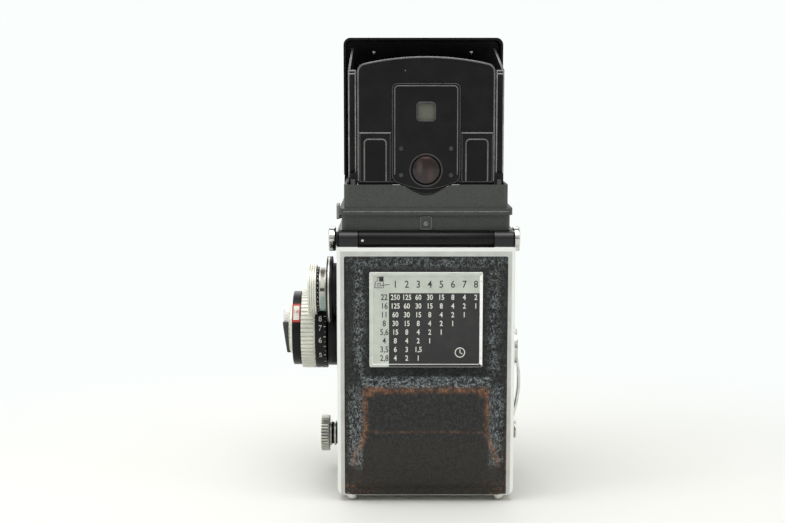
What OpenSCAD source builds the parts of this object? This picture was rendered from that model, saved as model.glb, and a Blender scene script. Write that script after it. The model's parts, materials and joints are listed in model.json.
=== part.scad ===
/* [Body] */
// Full width of the body over its side leather
body_width = 78.8; // [78.8:0.2:80]
// Half depth of the body box, front wall to back frame
body_half_depth = 35; // [35]
// Thickness of the leather skins
leather_t = 0.8; // [0.6:0.1:1.0]
// Width of the bright border around the back leather
border = 3.2; // [2.6:0.2:3.6]
// How far the back bulge stands out
bulge_depth = 6; // [5:0.5:7]

/* [Lenses] */
// Height of the taking lens axis
taking_z = 48; // [48]
// Height of the viewing lens axis
viewing_z = 90; // [90]
// Outer radius of the lens barrels
barrel_r = 19.5; // [18.5:0.5:20]
// Focusing travel of the lens standard
focus_travel = 7.8; // [7.8]

/* [Knobs] */
// Radius of the focusing knob
focus_r = 18.8; // [17.5:0.1:19]
// Number of knurl grooves round the focusing knob
focus_teeth = 60; // [30:6:72]
// Radius of the upper spool knob drum
upper_r = 11.4; // [10.4:0.2:11.4]
// Radius of the lower spool knob
lower_r = 8.7; // [7.5:0.1:9]

/* [Hood] */
// Width of the hood base bead
bead_width = 76.8; // [76:0.2:77.6]
// Half width of the hood back panel
panel_half = 30.3; // [29.5:0.1:30.3]
// Height of the rounded top of the back panel
panel_top = 198.5; // [194:0.5:200]
// Height of the round eyepiece above the feet
eyepiece_z = 148.8; // [148.4:0.1:149.4]
// Width of the notch in the rear rim of the hood base
notch_half = 11.8; // [9:0.2:13]

/* [Exposure table] */
// Width of the table plate
table_w = 50; // [44:1:52]
// Height of the table plate
table_h = 42.4; // [38:0.2:44]

/* [Hidden] */
$fn = 64;
bw = body_width / 2;
shell_x = bw - leather_t;
yf = -body_half_depth;
yb = body_half_depth;
knob_y = -4;
knob_z = 72.6;
up_y = 18;
up_z = 94.1;
lo_y = -12;
lo_z = 19.7;
crank_y = -2;
crank_z = 64;
release_x = -32.5;
release_z = 13.5;
hinge_y = 31.6;
hinge_z = 118.8;
hinge_r = 3.4;
base_z = 122.2;
rim_z = 142.4;
side_hinge_a = 139.2;
side_hinge_b = 141.0;
back_hinge_z = 143.2;
lid_y = -36.5;
lid_z = 139.5;
table_z = 83.1;

// Sub-part to show, or "all"

module box(x0, x1, y0, y1, z0, z1) {
    translate([x0, y0, z0]) cube([x1 - x0, y1 - y0, z1 - z0]);
}

module slab_x(x0, x1) {
    translate([x0, 0, 0]) rotate([90, 0, 90]) linear_extrude(x1 - x0) children();
}

module slab_y(y0, y1) {
    translate([0, y1, 0]) rotate([90, 0, 0]) linear_extrude(y1 - y0) children();
}

module slab_z(z0, z1) {
    translate([0, 0, z0]) linear_extrude(z1 - z0) children();
}

module rod_x(y, z, r, x0, x1) {
    translate([x0, y, z]) rotate([0, 90, 0]) cylinder(r = r, h = x1 - x0);
}

module rod_y(x, z, r, y0, y1) {
    translate([x, y1, z]) rotate([90, 0, 0]) cylinder(r = r, h = y1 - y0);
}

module rod_z(x, y, r, z0, z1) {
    translate([x, y, z0]) cylinder(r = r, h = z1 - z0);
}

// Rounded rectangle between two corners
module rrect(u0, u1, v0, v1, r) {
    translate([u0 + r, v0]) square([u1 - u0 - 2 * r, v1 - v0]);
    translate([u0, v0 + r]) square([u1 - u0, v1 - v0 - 2 * r]);
    for (u = [u0 + r, u1 - r]) for (v = [v0 + r, v1 - r]) translate([u, v]) circle(r = r);
}

// Round disc with straight knurl grooves cut along its rim, axis along X
module knurled_x(y, z, r, x0, x1, n, g) {
    difference() {
        rod_x(y, z, r, x0, x1);
        for (i = [0 : n - 1]) {
            rg = r + g * 0.35;
            translate([x0 - 0.5, y + rg * cos(i * 360 / n), z + rg * sin(i * 360 / n)])
                rotate([0, 90, 0]) cylinder(r = g, h = x1 - x0 + 1, $fn = 16);
        }
    }
}

module ring_x(y, z, ro, ri, x0, x1) {
    difference() {
        rod_x(y, z, ro, x0, x1);
        rod_x(y, z, ri, x0 - 1, x1 + 1);
    }
}

module ring_y(x, z, ro, ri, y0, y1) {
    difference() {
        rod_y(x, z, ro, y0, y1);
        rod_y(x, z, ri, y0 - 1, y1 + 1);
    }
}

// ---------- body ----------

module body_shell() {
    color("dimgray") difference() {
        union() {
            box(-shell_x, shell_x, yf, 31.2, 5.4, 115);
            box(-shell_x, shell_x, yf, 27.9, 115, base_z);
        }
        // film chamber, open to the back and to the bottom
        box(-32.5, 32.5, -32.5, 40, 0, 116);
        // opening under the focusing screen
        box(-28, 28, -32.4, 23, 115, 130);
        // seat of the focusing screen
        box(-31, 31, -32.4, 25, 119.4, 130);
        rod_y(0, viewing_z, 16, -40, -30);
        rod_y(0, taking_z, 16, -40, -30);
        for (s = [-1, 1]) box(s * 27.7 - 1.9, s * 27.7 + 1.9, -40, -30, 70.8, 74.4);
        rod_x(knob_y, knob_z, 4.05, 30, 45);
        rod_x(up_y, up_z, 4.55, 30, 45);
        rod_x(lo_y, lo_z, 4.55, 30, 45);
        rod_x(crank_y, crank_z, 4.05, -45, -36);
        rod_x(up_y, up_z, 4.05, -38, -30);
        rod_x(knob_y, knob_z, 2.55, -38, -30);
        for (z = [79.9, 14.3]) rod_x(27, z, 0.95, -33.8, 33.8);
        // pocket of the frame counter dial
        rod_x(-14, 100, 8.4, -45, -36.6);
        // release button well
        rod_y(release_x, release_z, 3.55, -40, -27);
        // wells of the strap lugs
        for (s = [-1, 1]) rod_x(-3, 115, 3.2, s * 37.6 - 1.1, s * 37.6 + 1.1);
    }
    mirror_ledges();
}

// Sloping ledges that carry the mirror
module mirror_ledges() {
    color("dimgray") for (s = [-1, 1]) slab_x(s * 30.95 - 1.55, s * 30.95 + 1.55)
        polygon([[-30.1, 64.1], [14.9, 109.1], [15.5, 108.5], [-29.5, 63.5]]);
}

module side_plate(s) {
    x0 = s > 0 ? shell_x : -shell_x - 1.0;
    color("gray") difference() {
        slab_x(x0, x0 + 1.0) rrect(-34.6, 30.8, 58, 121.5, 2);
        rod_x(knob_y, knob_z, 4.05, 30, 45);
        rod_x(up_y, up_z, 4.55, 30, 45);
        rod_x(crank_y, crank_z, 4.05, -45, -30);
        rod_x(-14, 100, 8.4, -45, -30);
        for (q = [-1, 1]) rod_x(-3, 115, 3.2, q * 37.6 - 2.4, q * 37.6 + 2.4);
    }
}

module side_plate_focus() { side_plate(1); }
module side_plate_crank() { side_plate(-1); }

module side_leathers() {
    color("darkslategray") for (s = [-1, 1]) difference() {
        x0 = s > 0 ? shell_x : -shell_x - leather_t;
        slab_x(x0, x0 + leather_t) rrect(-34.6, 30.8, 6, 57.8, 2);
        rod_x(lo_y, lo_z, 4.55, 30, 45);
    }
}

module front_plate() {
    color("silver") difference() {
        slab_y(-36, yf) rrect(-38.4, 38.4, 5.6, 121, 4);
        rod_y(0, viewing_z, 16, -40, -30);
        rod_y(0, taking_z, 16, -40, -30);
        for (s = [-1, 1]) box(s * 27.7 - 1.9, s * 27.7 + 1.9, -40, -30, 70.8, 74.4);
        rod_y(release_x, release_z, 3.55, -40, -27);
    }
}

module front_leather() {
    color("darkslategray") difference() {
        slab_y(-36.8, -36) difference() {
            rrect(-36.6, 36.6, 7.4, 119, 3);
            rrect(-30.4, 30.4, 20, 117, 3);
            translate([release_x, release_z]) circle(r = 7.4);
            translate([31, 18]) circle(r = 5.2);
        }
    }
}

// Square funnel from the taking lens to the film gate
module cone_solid(t) {
    f = 7 + t;
    b = 27 + t;
    intersection() {
        slab_x(-40, 40) polygon([[-31, 47.5 - f], [28.8, 47.5 - b], [28.8, 47.5 + b], [-31, 47.5 + f]]);
        slab_z(0, 100) polygon([[-f, -31], [f, -31], [b, 28.8], [-b, 28.8]]);
    }
}

module light_cone() {
    color("black") difference() {
        union() {
            cone_solid(0.8);
            rod_y(0, 47.5, 17, -32.5, -30.6);
        }
        difference() {
            cone_solid(0);
            box(-40, 40, -40, -30.9, 0, 100);
        }
        rod_y(0, 47.5, 6.6, -40, -29);
        box(-26.9, 26.9, 28.2, 30, 20.6, 74.4);
    }
}

module film_gate() {
    color("darkgray") difference() {
        box(-32.5, 32.5, 28.8, 30.2, 17.3, 76.9);
        box(-27.6, 27.6, 28, 31, 20.2, 74.8);
    }
    color("darkgray") for (x = [-30.2, 30.2]) box(x - 0.6, x + 0.6, 30.2, 30.4, 17.3, 76.9);
}

module roller(z) {
    color("silver") union() {
        rod_x(27, z, 2.4, -31.5, 31.5);
        rod_x(27, z, 0.9, -33.6, 33.6);
    }
}

module roller_upper() { roller(79.9); }
module roller_lower() { roller(14.3); }

// Trapezoid mirror tilted at 45 degrees
module mirror() {
    color("lightblue") intersection() {
        slab_x(-40, 40) polygon([[-31, 65], [14, 110], [14.9, 109.1], [-30.1, 64.1]]);
        slab_z(60, 120) polygon([[-18, -31], [18, -31], [30, 15], [-30, 15]]);
    }
}

module focusing_screen() {
    color("lightcyan") union() {
        box(-30.8, 30.8, -32.2, 24.8, 119.4, 121.4);
        for (s = [-1, 1]) box(s * 20 - 0.25, s * 20 + 0.25, -30, 22, 121.4, 121.6);
        for (y = [-18, 12]) box(-28, 28, y - 0.25, y + 0.25, 121.6, 121.7);
    }
}

// Bright studs that take the strap clips
module strap_lugs() {
    color("silver") for (s = [-1, 1]) {
        rod_x(-3, 115, 3.1, s > 0 ? 36.5 : -41.2, s > 0 ? 41.2 : -36.5);
        x0 = s > 0 ? 41.2 : -44.6;
        slab_x(x0, x0 + 3.4) union() {
            translate([-3, 115]) circle(r = 4.6);
            translate([-5.4, 109.4]) square([4.8, 11]);
        }
    }
}

module back_hinge() {
    color("black") difference() {
        union() {
            rod_x(hinge_y, hinge_z, hinge_r - 0.1, -29.8, 29.8);
            box(-29.8, 29.8, 27.9, hinge_y, 117.2, 121.2);
        }
    }
    color("silver") for (s = [-1, 1])
        rod_x(hinge_y, hinge_z, 1.2, s > 0 ? 29.8 : -38.4, s > 0 ? 38.4 : -29.8);
}

module knob_flange() {
    color("gray") difference() {
        union() {
            rod_x(knob_y, knob_z, 17.6, 39.6, 44.5);
            rod_x(knob_y, knob_z, 12, 44.5, 44.8);
        }
        rod_x(knob_y, knob_z, 4.05, 30, 50);
    }
    color("black") difference() {
        union() {
            rod_x(up_y, up_z, 12, 39.6, 41.8);
            rod_x(up_y, up_z, 15, 41.8, 44.3);
        }
        rod_x(up_y, up_z, 4.55, 30, 50);
    }
}

module crank_bezel() {
    color("silver") difference() {
        union() {
            rod_x(crank_y, crank_z, 11, -41.2, -39.6);
            rod_x(crank_y, 23, 8, -40.5, -39.4);
        }
        rod_x(crank_y, crank_z, 4.05, -50, -30);
        rod_x(crank_y, 23, 6.2, -50, -40);
    }
}

module counter_window() {
    color("silver") ring_x(-14, 100, 9.4, 5.6, -40.6, -39.6);
    color("lightcyan") rod_x(-14, 100, 5.6, -40.3, -39.7);
}

module counter_dial() {
    color("white") rod_x(-14, 100, 8.1, -38.6, -37);
}

module sync_socket() {
    color("silver") difference() {
        union() {
            rod_y(31, 18, 4.2, -38.8, -36);
            rod_y(31, 18, 3.2, -40.6, -38.8);
        }
        rod_y(31, 18, 1.8, -50, -37);
    }
    color("silver") rod_y(31, 18, 0.6, -40, -37);
}

// ---------- lens board ----------

module lens_standard() {
    color("silver") difference() {
        slab_y(-43, -37) rrect(-30, 30, 20.4, 116.6, 8);
        rod_y(0, viewing_z, 14.5, -50, -30);
        rod_y(0, taking_z, 14.5, -50, -30);
        slab_y(-41, -36) rrect(-27.9, -25.6, 30, 66, 1);
        rod_y(-21, 69, 2.55, -50, -40);
        rod_y(21, 69, 2.55, -50, -40);
    }
    // push rods that follow the focusing cams
    color("silver") for (s = [-1, 1])
        box(s * 27.7 - 1.5, s * 27.7 + 1.5, -37, -7.6, 71.6, 73.6);
    // tubes that slide inside the body openings
    color("black") ring_y(0, viewing_z, 15.8, 14.5, -37, -33.2);
    color("black") ring_y(0, taking_z, 15.8, 14.5, -37, -33.2);
}

module shutter_housing() {
    color("black") difference() {
        union() {
            rod_y(0, taking_z, 23.2, -52, -43);
            rod_y(0, taking_z, 14.3, -43, -34);
        }
        rod_y(0, taking_z, 11, -60, -30);
        rod_y(0, viewing_z, barrel_r + 0.4, -60, -42);
        for (s = [-1, 1]) rod_y(s * 21, 69, 8.2, -60, -42);
    }
}

module barrel(z, y0, y1) {
    difference() {
        union() {
            rod_y(0, z, barrel_r, y0 + 5, y1);
            rod_y(0, z, barrel_r - 1.2, y0, y0 + 5);
            for (a = [30, 150, 270])
                translate([0, y0 + 3.4, z]) rotate([0, a, 0]) translate([barrel_r - 2.2, -1, -2.6])
                    cube([2.2, 2, 5.2]);
        }
        rod_y(0, z, 15.2, y0 - 1, y0 + 3.6);
        rod_y(0, z, 14.2, y0 - 1, y0 + 8);
        rod_y(0, z, 11, y0 - 1, y1 + 1);
        for (g = [0, 1, 2, 3])
            ring_y(0, z, barrel_r + 1, barrel_r - 0.4, y0 + 7 + g * 1.4, y0 + 7.7 + g * 1.4);
    }
}

module taking_barrel() {
    color("black") barrel(taking_z, -67, -52);
}

module viewing_barrel() {
    color("black") barrel(viewing_z, -64, -43);
}

// Convex lens element facing forward, revolved from its own profile
module element(z, r, y, h) {
    sr = (r * r + h * h) / (2 * h);
    translate([0, y, z]) rotate([90, 0, 0]) rotate_extrude() polygon(concat([[0, -1.6], [r, -1.6]],
        [for (i = [0 : 10]) let (u = r * (1 - i / 10)) [u, sqrt(sr * sr - u * u) - sr + h]]));
}

module lens_glass() {
    color("lightblue") element(taking_z, 10.95, -57, 2.2);
    color("lightblue") element(viewing_z, 10.95, -54, 2.2);
    color("lightblue") element(taking_z, 10.9, -43, 1.6);
}

module iris_blades() {
    color("black") difference() {
        rod_y(0, taking_z, 10.9, -49.4, -49);
        slab_y(-50, -48) translate([0, taking_z]) circle(r = 5.5, $fn = 10);
    }
}

module wheel(x) {
    color("silver") difference() {
        union() {
            rod_y(x, 69, 7.6, -48.4, -43.4);
            rod_y(x, 69, 2.5, -43.4, -40.4);
        }
        for (i = [0 : 23])
            translate([x + 7.9 * cos(i * 15), -43, 69 + 7.9 * sin(i * 15)])
                rotate([90, 0, 0]) cylinder(r = 0.6, h = 6, $fn = 16);
        rod_y(x, 69, 4.5, -50, -47.9);
    }
}

module aperture_wheel() { wheel(-21); }
module speed_wheel() { wheel(21); }

// Small lever that turns about the middle of its own boss below the shutter
module sync_lever() {
    color("silver") union() {
        rod_y(0, 26.2, 2, -54.4, -52.05);
        slab_y(-54.4, -53) rrect(-1.1, 1.1, 17, 26.2, 1);
        rod_y(0, 18, 1.8, -55.6, -53);
    }
}

// ---------- focusing ----------

module focus_knob() {
    color("ivory") knurled_x(knob_y, knob_z, focus_r, 50.3, 57, focus_teeth, 0.45);
    color("black") rod_x(knob_y, knob_z, 17.3, 57, 61.1);
    color("ivory") rod_x(knob_y, knob_z, 15.6, 61.1, 62.4);
}

module distance_dial() {
    color("black") difference() {
        rod_x(knob_y, knob_z, focus_r, 45, 50.3);
        rod_x(knob_y, knob_z, 12.4, 44, 47.6);
        rod_x(knob_y, knob_z, 4.02, 44, 51);
    }
}

// Spiral cam whose edge facing the push rod moves forward with the turn
function cam_r(a) = 3.2 + focus_travel * a / 290;

module cam() {
    polygon(concat([[0, 0]],
        [for (a = [-20 : 5 : 305]) [cam_r(a) * cos(180 - a), cam_r(a) * sin(180 - a)]]));
}

module focus_shaft() {
    color("silver") union() {
        rod_x(knob_y, knob_z, 2.5, -37.6, 33);
        rod_x(knob_y, knob_z, 4, 33, 50.3);
        for (x = [-29.2, 26.2]) translate([0, knob_y, knob_z]) slab_x(x, x + 3) cam();
    }
}

module film_speed_dial() {
    color("gray") difference() {
        rod_x(knob_y, knob_z, 11.5, 62.5, 64.6);
        for (i = [0 : 17])
            translate([62, knob_y + 11.9 * cos(i * 20), knob_z + 11.9 * sin(i * 20)])
                rotate([0, 90, 0]) cylinder(r = 0.9, h = 4, $fn = 16);
    }
    color("ivory") rod_x(knob_y, knob_z, 7.4, 64.6, 66.6);
    color("black") slab_x(64.6, 66.4) translate([knob_y, knob_z]) difference() {
        translate([-1.9, -9.5]) square([3.8, 6]);
        circle(r = 7.4);
    }
}

// ---------- release ----------

module release_button() {
    color("silver") difference() {
        union() {
            rod_y(release_x, release_z, 3.5, -38, -30.2);
            rod_y(release_x, release_z, 3.1, -40.6, -38);
        }
        rod_y(release_x, release_z, 1.4, -50, -35);
    }
}

module release_lock() {
    color("silver") union() {
        ring_y(release_x, release_z, 6.4, 3.9, -38.4, -36.15);
        slab_y(-38, -36.4) difference() {
            translate([release_x - 1, release_z - 7.1]) square([2, 7]);
            translate([release_x, release_z]) circle(r = 5);
        }
    }
}

// ---------- winding ----------

// Height of the crank arm's outer end, and where its outward bow starts
crank_end = 24;
bow_z = 29.6;

// Offset of the bowed arm from the side of the body at share t of its length
function bow_x(t) = -41.8 - 0.8 * t - 2.6 * sin(180 * t);

module wind_crank() {
    reach = crank_z - bow_z;
    color("silver") difference() {
        union() {
            rod_x(crank_y, crank_z, 4, -44, -36.2);
            rod_x(crank_y, crank_z, 8.2, -43.6, -41.4);
            translate([0, crank_y + 3.1, 0]) rotate([90, 0, 0]) linear_extrude(6.2) polygon(concat(
                [for (i = [0 : 20]) [bow_x(i / 20) - 0.55, bow_z + reach * i / 20]],
                [for (i = [20 : -1 : 0]) [bow_x(i / 20) + 0.55, bow_z + reach * i / 20]]));
            slab_x(-42.35, -41.25) union() {
                translate([crank_y - 3.1, crank_end]) square([6.2, bow_z + 0.2 - crank_end]);
                translate([crank_y, crank_end]) circle(r = 4.6);
            }
        }
        rod_x(crank_y, crank_end, 2.05, -50, -30);
    }
}

module crank_handle() {
    color("silver") union() {
        rod_x(crank_y, crank_end, 2, -42.5, -40.7);
        rod_x(crank_y, crank_end, 4.2, -43.7, -42.45);
    }
}

module take_up_spool() {
    color("dimgray") difference() {
        union() {
            rod_x(up_y, up_z, 11.6, -31.4, -30.4);
            rod_x(up_y, up_z, 11.6, 30.4, 31.4);
            rod_x(up_y, up_z, 5, -30.4, 30.4);
            rod_x(up_y, up_z, 4, -36, -31.4);
        }
        box(-20, 20, up_y - 0.6, up_y + 0.6, up_z - 8, up_z + 8);
        rod_x(up_y, up_z, 2.6, 24, 40);
    }
}

// Pull-out knob that carries the spool pin on its inner end
module take_up_knob() {
    color("silver") rod_x(up_y, up_z, 9.9, 44.4, 47.8);
    color("black") rod_x(up_y, up_z, 10.3, 47.8, 48.9);
    color("silver") knurled_x(up_y, up_z, upper_r, 48.9, 52.9, 40, 0.5);
    color("silver") rod_x(up_y, up_z, 4.5, 33, 44.4);
    color("silver") rod_x(up_y, up_z, 2.4, 27, 33);
}

module supply_knob() {
    color("silver") knurled_x(lo_y, lo_z, lower_r, 44.9, 48.9, 36, 0.45);
    color("silver") rod_x(lo_y, lo_z, 6, 40.5, 44.9);
    color("silver") rod_x(lo_y, lo_z, 4.5, 31.6, 40.5);
    color("silver") rod_x(lo_y, lo_z, 2.4, 26, 31.6);
}

// ---------- back ----------

// Solid of the back bulge, shrunk by t on its free sides
module bulge(t) {
    d = bulge_depth - t;
    n = 12;
    intersection() {
        slab_x(-40, 40) polygon(concat(
            [[32, 7 + t], [32, 57 - t * 1.2], [yb, 57 - t * 1.2], [yb + d, 53.6 - t * 1.1]],
            [for (i = [0 : n]) [yb + d * cos(i * 90 / n), 33 - (26 - t) * sin(i * 90 / n)]]));
        slab_z(0, 70) polygon([[-33 + t, 31], [-33 + t, yb], [-27 + t * 0.6, yb + d],
            [27 - t * 0.6, yb + d], [33 - t, yb], [33 - t, 31]]);
    }
}

module back_cover() {
    color("silver") difference() {
        union() {
            slab_y(31.4, yb) rrect(-bw, bw, 3, 115.1, 3.4);
            slab_y(31.4, yb) translate([-bw, 60]) square([2 * bw, 55.1]);
            difference() {
                bulge(leather_t + 0.02);
                box(-50, 50, 20, 34.2, 0, 130);
            }
        }
        // recess that the leather lies in
        slab_y(34.2, 36) difference() {
            rrect(-bw + border, bw - border, 3.6, 111.2, 0.8);
            translate([-32.1, 8]) square([64.2, 47.9]);
        }
        // hollow behind the pressure plate and inside the bulge
        box(-31.6, 31.6, 31, 33, 12, 82);
        bulge(leather_t + 1.2);
    }
    color("black") for (s = [-1, 1]) difference() {
        x0 = s > 0 ? 30.1 : -38.4;
        union() {
            rod_x(hinge_y, hinge_z, hinge_r, x0, x0 + 8.3);
            box(x0, x0 + 8.3, hinge_y, yb, 115, hinge_z);
        }
        rod_x(hinge_y, hinge_z, 1.25, -50, 50);
    }
}

// Bottom plate joined to the foot of the cover
module back_floor() {
    color("silver") difference() {
        box(-bw + 0.6, bw - 0.6, yf + 0.4, 31.4, 3, 5.2);
        rod_z(0, 0, 6.05, 0, 10);
    }
}

module back_leather() {
    color("darkslategray") difference() {
        union() {
            slab_y(34.2, yb + 0.1) rrect(-bw + border + 0.05, bw - border - 0.05, 3.65, 111.15, 0.8);
            bulge(0);
        }
        bulge(leather_t);
        box(-32.2, 32.2, 20, 35.11, 7.9, 56);
        box(-60, 60, 20, 34.2, 0, 130);
    }
}

module exposure_table() {
    color("silver") difference() {
        w = table_w / 2;
        h = table_h / 2;
        slab_y(yb + 0.1, yb + 1.4) rrect(-w, w, table_z - h, table_z + h, 0.7);
        slab_y(yb + 0.9, yb + 3)
            rrect(-w + 1.3, w - 1.3, table_z - h + 1.3, table_z + h - 1.3, 0.4);
    }
}

module pressure_plate() {
    color("dimgray") union() {
        slab_y(30.6, 31.5) rrect(-29, 29, 18, 76, 1.5);
        for (x = [-20, 20]) box(x - 3, x + 3, 31.5, 31.9, 40, 54);
    }
}

// Leaf spring between the cover and the pressure plate
module pressure_spring() {
    color("silver") for (x = [-20, 20]) slab_x(x - 2.6, x + 2.6)
        polygon([[31.9, 40], [31.9, 54], [32.7, 62], [32.7, 72], [33, 72], [33, 61.8],
            [32.2, 53.8], [32.2, 40.2], [33, 32.2], [33, 22], [32.7, 22], [32.7, 32]]);
}

module feet() {
    color("silver") for (x = [-33, 33]) for (y = [-29, 30]) rod_z(x, y, 2.6, 0, 3);
}

module tripod_boss() {
    color("silver") difference() {
        union() {
            rod_z(0, 0, 9.4, 0, 3);
            rod_z(0, 0, 6, 3, 7.2);
        }
        rod_z(0, 0, 3.175, -1, 6);
    }
}

module back_latch() {
    color("silver") difference() {
        union() {
            rod_z(0, 0, 13.4, 0.5, 2.8);
            slab_z(0.5, 2.8) rrect(-3.6, 3.6, -22, 0, 3);
        }
        rod_z(0, 0, 9.5, 0, 4);
    }
}

// ---------- hood ----------

module hood_base() {
    color("dimgray") difference() {
        union() {
            slab_z(base_z, 129) rrect(-37.3, 37.3, -36, 30, 3);
            slab_z(129, 132) rrect(-bead_width / 2, bead_width / 2, -37.1, 31, 3.6);
            slab_z(132, rim_z) rrect(-36.3, 36.3, -35, 30, 3);
        }
        slab_z(124, 150) rrect(-34.9, 34.9, -33.8, 28.6, 1.6);
        box(-28, 28, -30, 23, 120, 130);
        // notch in the rear rim
        slab_y(27, 33) polygon([for (u = [-1 : 0.1 : 1.001])
            [notch_half * 1.25 * u, 143.2 - 5.6 * (0.5 + 0.5 * cos(180 * u))]]);
        slab_y(27, 33) translate([-notch_half * 1.25, 142.3]) square([notch_half * 2.5, 4]);
        // room for the side panel pivots
        for (s = [-1, 1]) box(s > 0 ? 34.8 : -35.1, s > 0 ? 35.1 : -34.8, -33, 26, 137, 150);
        // front rim is cut down behind the lid
        box(-33, 33, -40, -33, 137, 150);
        rod_x(lid_y, lid_z, 3.2, -40, 40);
    }
    // screw patch below the notch
    color("dimgray") slab_y(30, 30.5) rrect(-2.6, 2.6, 122.6, 128.4, 1);
    // rear hinge ears
    color("dimgray") for (s = [-1, 1]) box(s * 32.2 - 0.9, s * 32.2 + 0.9, 28.6, 30, rim_z - 2, 144.8);
}

module hood_catch() {
    color("gray") union() {
        slab_x(38.6, 39.8) rrect(16, 24, 126.6, 133.4, 1);
        rod_x(20, 127.7, 1.1, 37.4, 38.6);
    }
}

// Front lid, a shallow pan with its rim turned toward the panels
module hood_lid() {
    color("black") difference() {
        union() {
            slab_y(-45.4, -29.6) rrect(-38.3, 38.3, lid_z - 1, 208.8, 3.4);
        }
        slab_y(-44.4, -20) rrect(-37.1, 37.1, lid_z - 8, 207.6, 2.4);
        box(-36.9, 36.9, -40, -20, 130, 143);
        // window of the sports finder
        slab_y(-50, -40) rrect(-19, 19, 152, 190, 1.5);
        // relief over the bead and the side rims while the lid stands
        box(-50, 50, -38, -20, 130, 143.2);
    }
    color("black") for (s = [-1, 1]) rod_x(lid_y, lid_z, 1.6, s > 0 ? 33.4 : -38.3, s > 0 ? 38.3 : -33.4);
    color("black") for (s = [-1, 1])
        box(s > 0 ? 36.6 : -38.3, s > 0 ? 38.3 : -36.6, -44.4, lid_y, 138.5, 142);
}

// Flap that closes the sports finder, hinged at its top edge
module finder_flap() {
    color("black") union() {
        slab_y(-43.6, -42.8) rrect(-21, 21, 150, 191, 1.5);
        rod_x(-43.2, 191.4, 0.7, -21, 21);
    }
}

// Focusing magnifier, folded flat against the flap
module magnifier() {
    color("black") difference() {
        union() {
            slab_y(-42.5, -41.3) union() {
                translate([0, 166]) circle(r = 13);
                translate([-9, 166]) square([18, 20]);
            }
            rod_x(-41.9, 186.2, 0.6, -9, 9);
        }
        rod_y(0, 166, 10.5, -50, -30);
    }
    color("lightcyan") rod_y(0, 166, 10.5, -42.4, -41.4);
}

// Hinge barrel along the foot of a side panel
module side_hinge(s, hz, yr) {
    x = s * 33.9;
    color("black") translate([x, yr - 1, hz]) rotate([90, 0, 0]) cylinder(r = 0.85, h = yr + 31);
}

// Side walls of the hood, each with a turned-in flange at its rear edge
module hood_side_right() {
    color("black") slab_x(33.45, 34.35)
        polygon([[-33.2, side_hinge_a], [25.4, side_hinge_a], [25.4, 192.5], [-28, 203.8], [-32, 203.8]]);
    color("black") box(30.7, 33.45, 24.6, 25.4, side_hinge_a + 6, 192.5);
    side_hinge(1, side_hinge_a, 25.4);
}

module hood_side_left() {
    color("black") slab_x(-34.35, -33.45)
        polygon([[-33.2, side_hinge_b], [26.5, side_hinge_b], [26.5, 192.5], [-28, 203.8], [-32, 203.8]]);
    color("black") box(-33.45, -30.7, 25.7, 26.5, side_hinge_b + 6, 192.5);
    side_hinge(-1, side_hinge_b, 26.5);
}

// Outline of the back panel with its arched top
module panel_outline(in, z0) {
    w = panel_half - in;
    top = panel_top - in;
    polygon(concat([[-w, z0], [w, z0]],
        [for (i = [0 : 10]) let (a = i * 8) [w - 3.6 + 3.6 * cos(a), top - 6.5 + 3.6 * sin(a)]],
        [for (i = [1 : 15]) let (u = 1 - i / 8) [(w - 3) * u, top - 2.95 * u * u]],
        [for (i = [0 : 10]) let (a = 100 + i * 8) [-w + 3.6 + 3.6 * cos(a), top - 6.5 + 3.6 * sin(a)]]));
}

module hood_back() {
    color("black") difference() {
        union() {
            slab_y(27.1, 28) union() {
                panel_outline(0, back_hinge_z);
                translate([0, eyepiece_z]) circle(r = 8.3);
            }
            for (s = [-1, 1]) rod_x(27.55, back_hinge_z, 0.9, s > 0 ? 7.2 : -30.2, s > 0 ? 30.2 : -7.2);
            // raised centre plate with a round tongue below the eyepiece
            slab_y(28, 28.5) union() {
                rrect(-15, 15, 150, 186.8, 2.2);
                translate([-15, 144.2]) square([30, 8]);
                translate([0, eyepiece_z]) circle(r = 8.3);
            }
            // side pockets
            for (s = [-1, 1]) slab_y(28, 28.4)
                rrect(s > 0 ? 15.2 : -29.6, s > 0 ? 29.6 : -15.2, 144.6, 165.4, 1.8);
        }
        // square peep hole
        slab_y(20, 40) rrect(-3.6, 3.6, 170.8, 178, 1);
        rod_y(0, eyepiece_z, 6.7, 20, 40);
    }
    color("black") ring_y(0, eyepiece_z, 7.9, 6.7, 28.5, 29.1);
    color("black") slab_y(28.5, 28.8) difference() {
        rrect(-4.3, 4.3, 170.1, 178.7, 1.4);
        rrect(-3.6, 3.6, 170.8, 178, 1);
    }
}

module eyepiece_lens() {
    color("lightblue") rod_y(0, eyepiece_z, 6.7, 27.2, 28.9);
}

module peep_window() {
    color("olive") slab_y(27.3, 27.9) rrect(-3.58, 3.58, 170.82, 177.98, 1);
}

module hood_rivets() {
    color("silver") for (x = [-11, 11]) for (z = [158.3, 146.6]) rod_y(x, z, 0.9, 28.5, 28.9);
}

module table_screws() {
    color("silver") for (x = [-1, 1]) for (z = [-1, 1])
        rod_y(x * (table_w / 2 - 0.65), table_z + z * (table_h / 2 - 4), 0.4, yb + 1.4, yb + 1.5);
}

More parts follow.
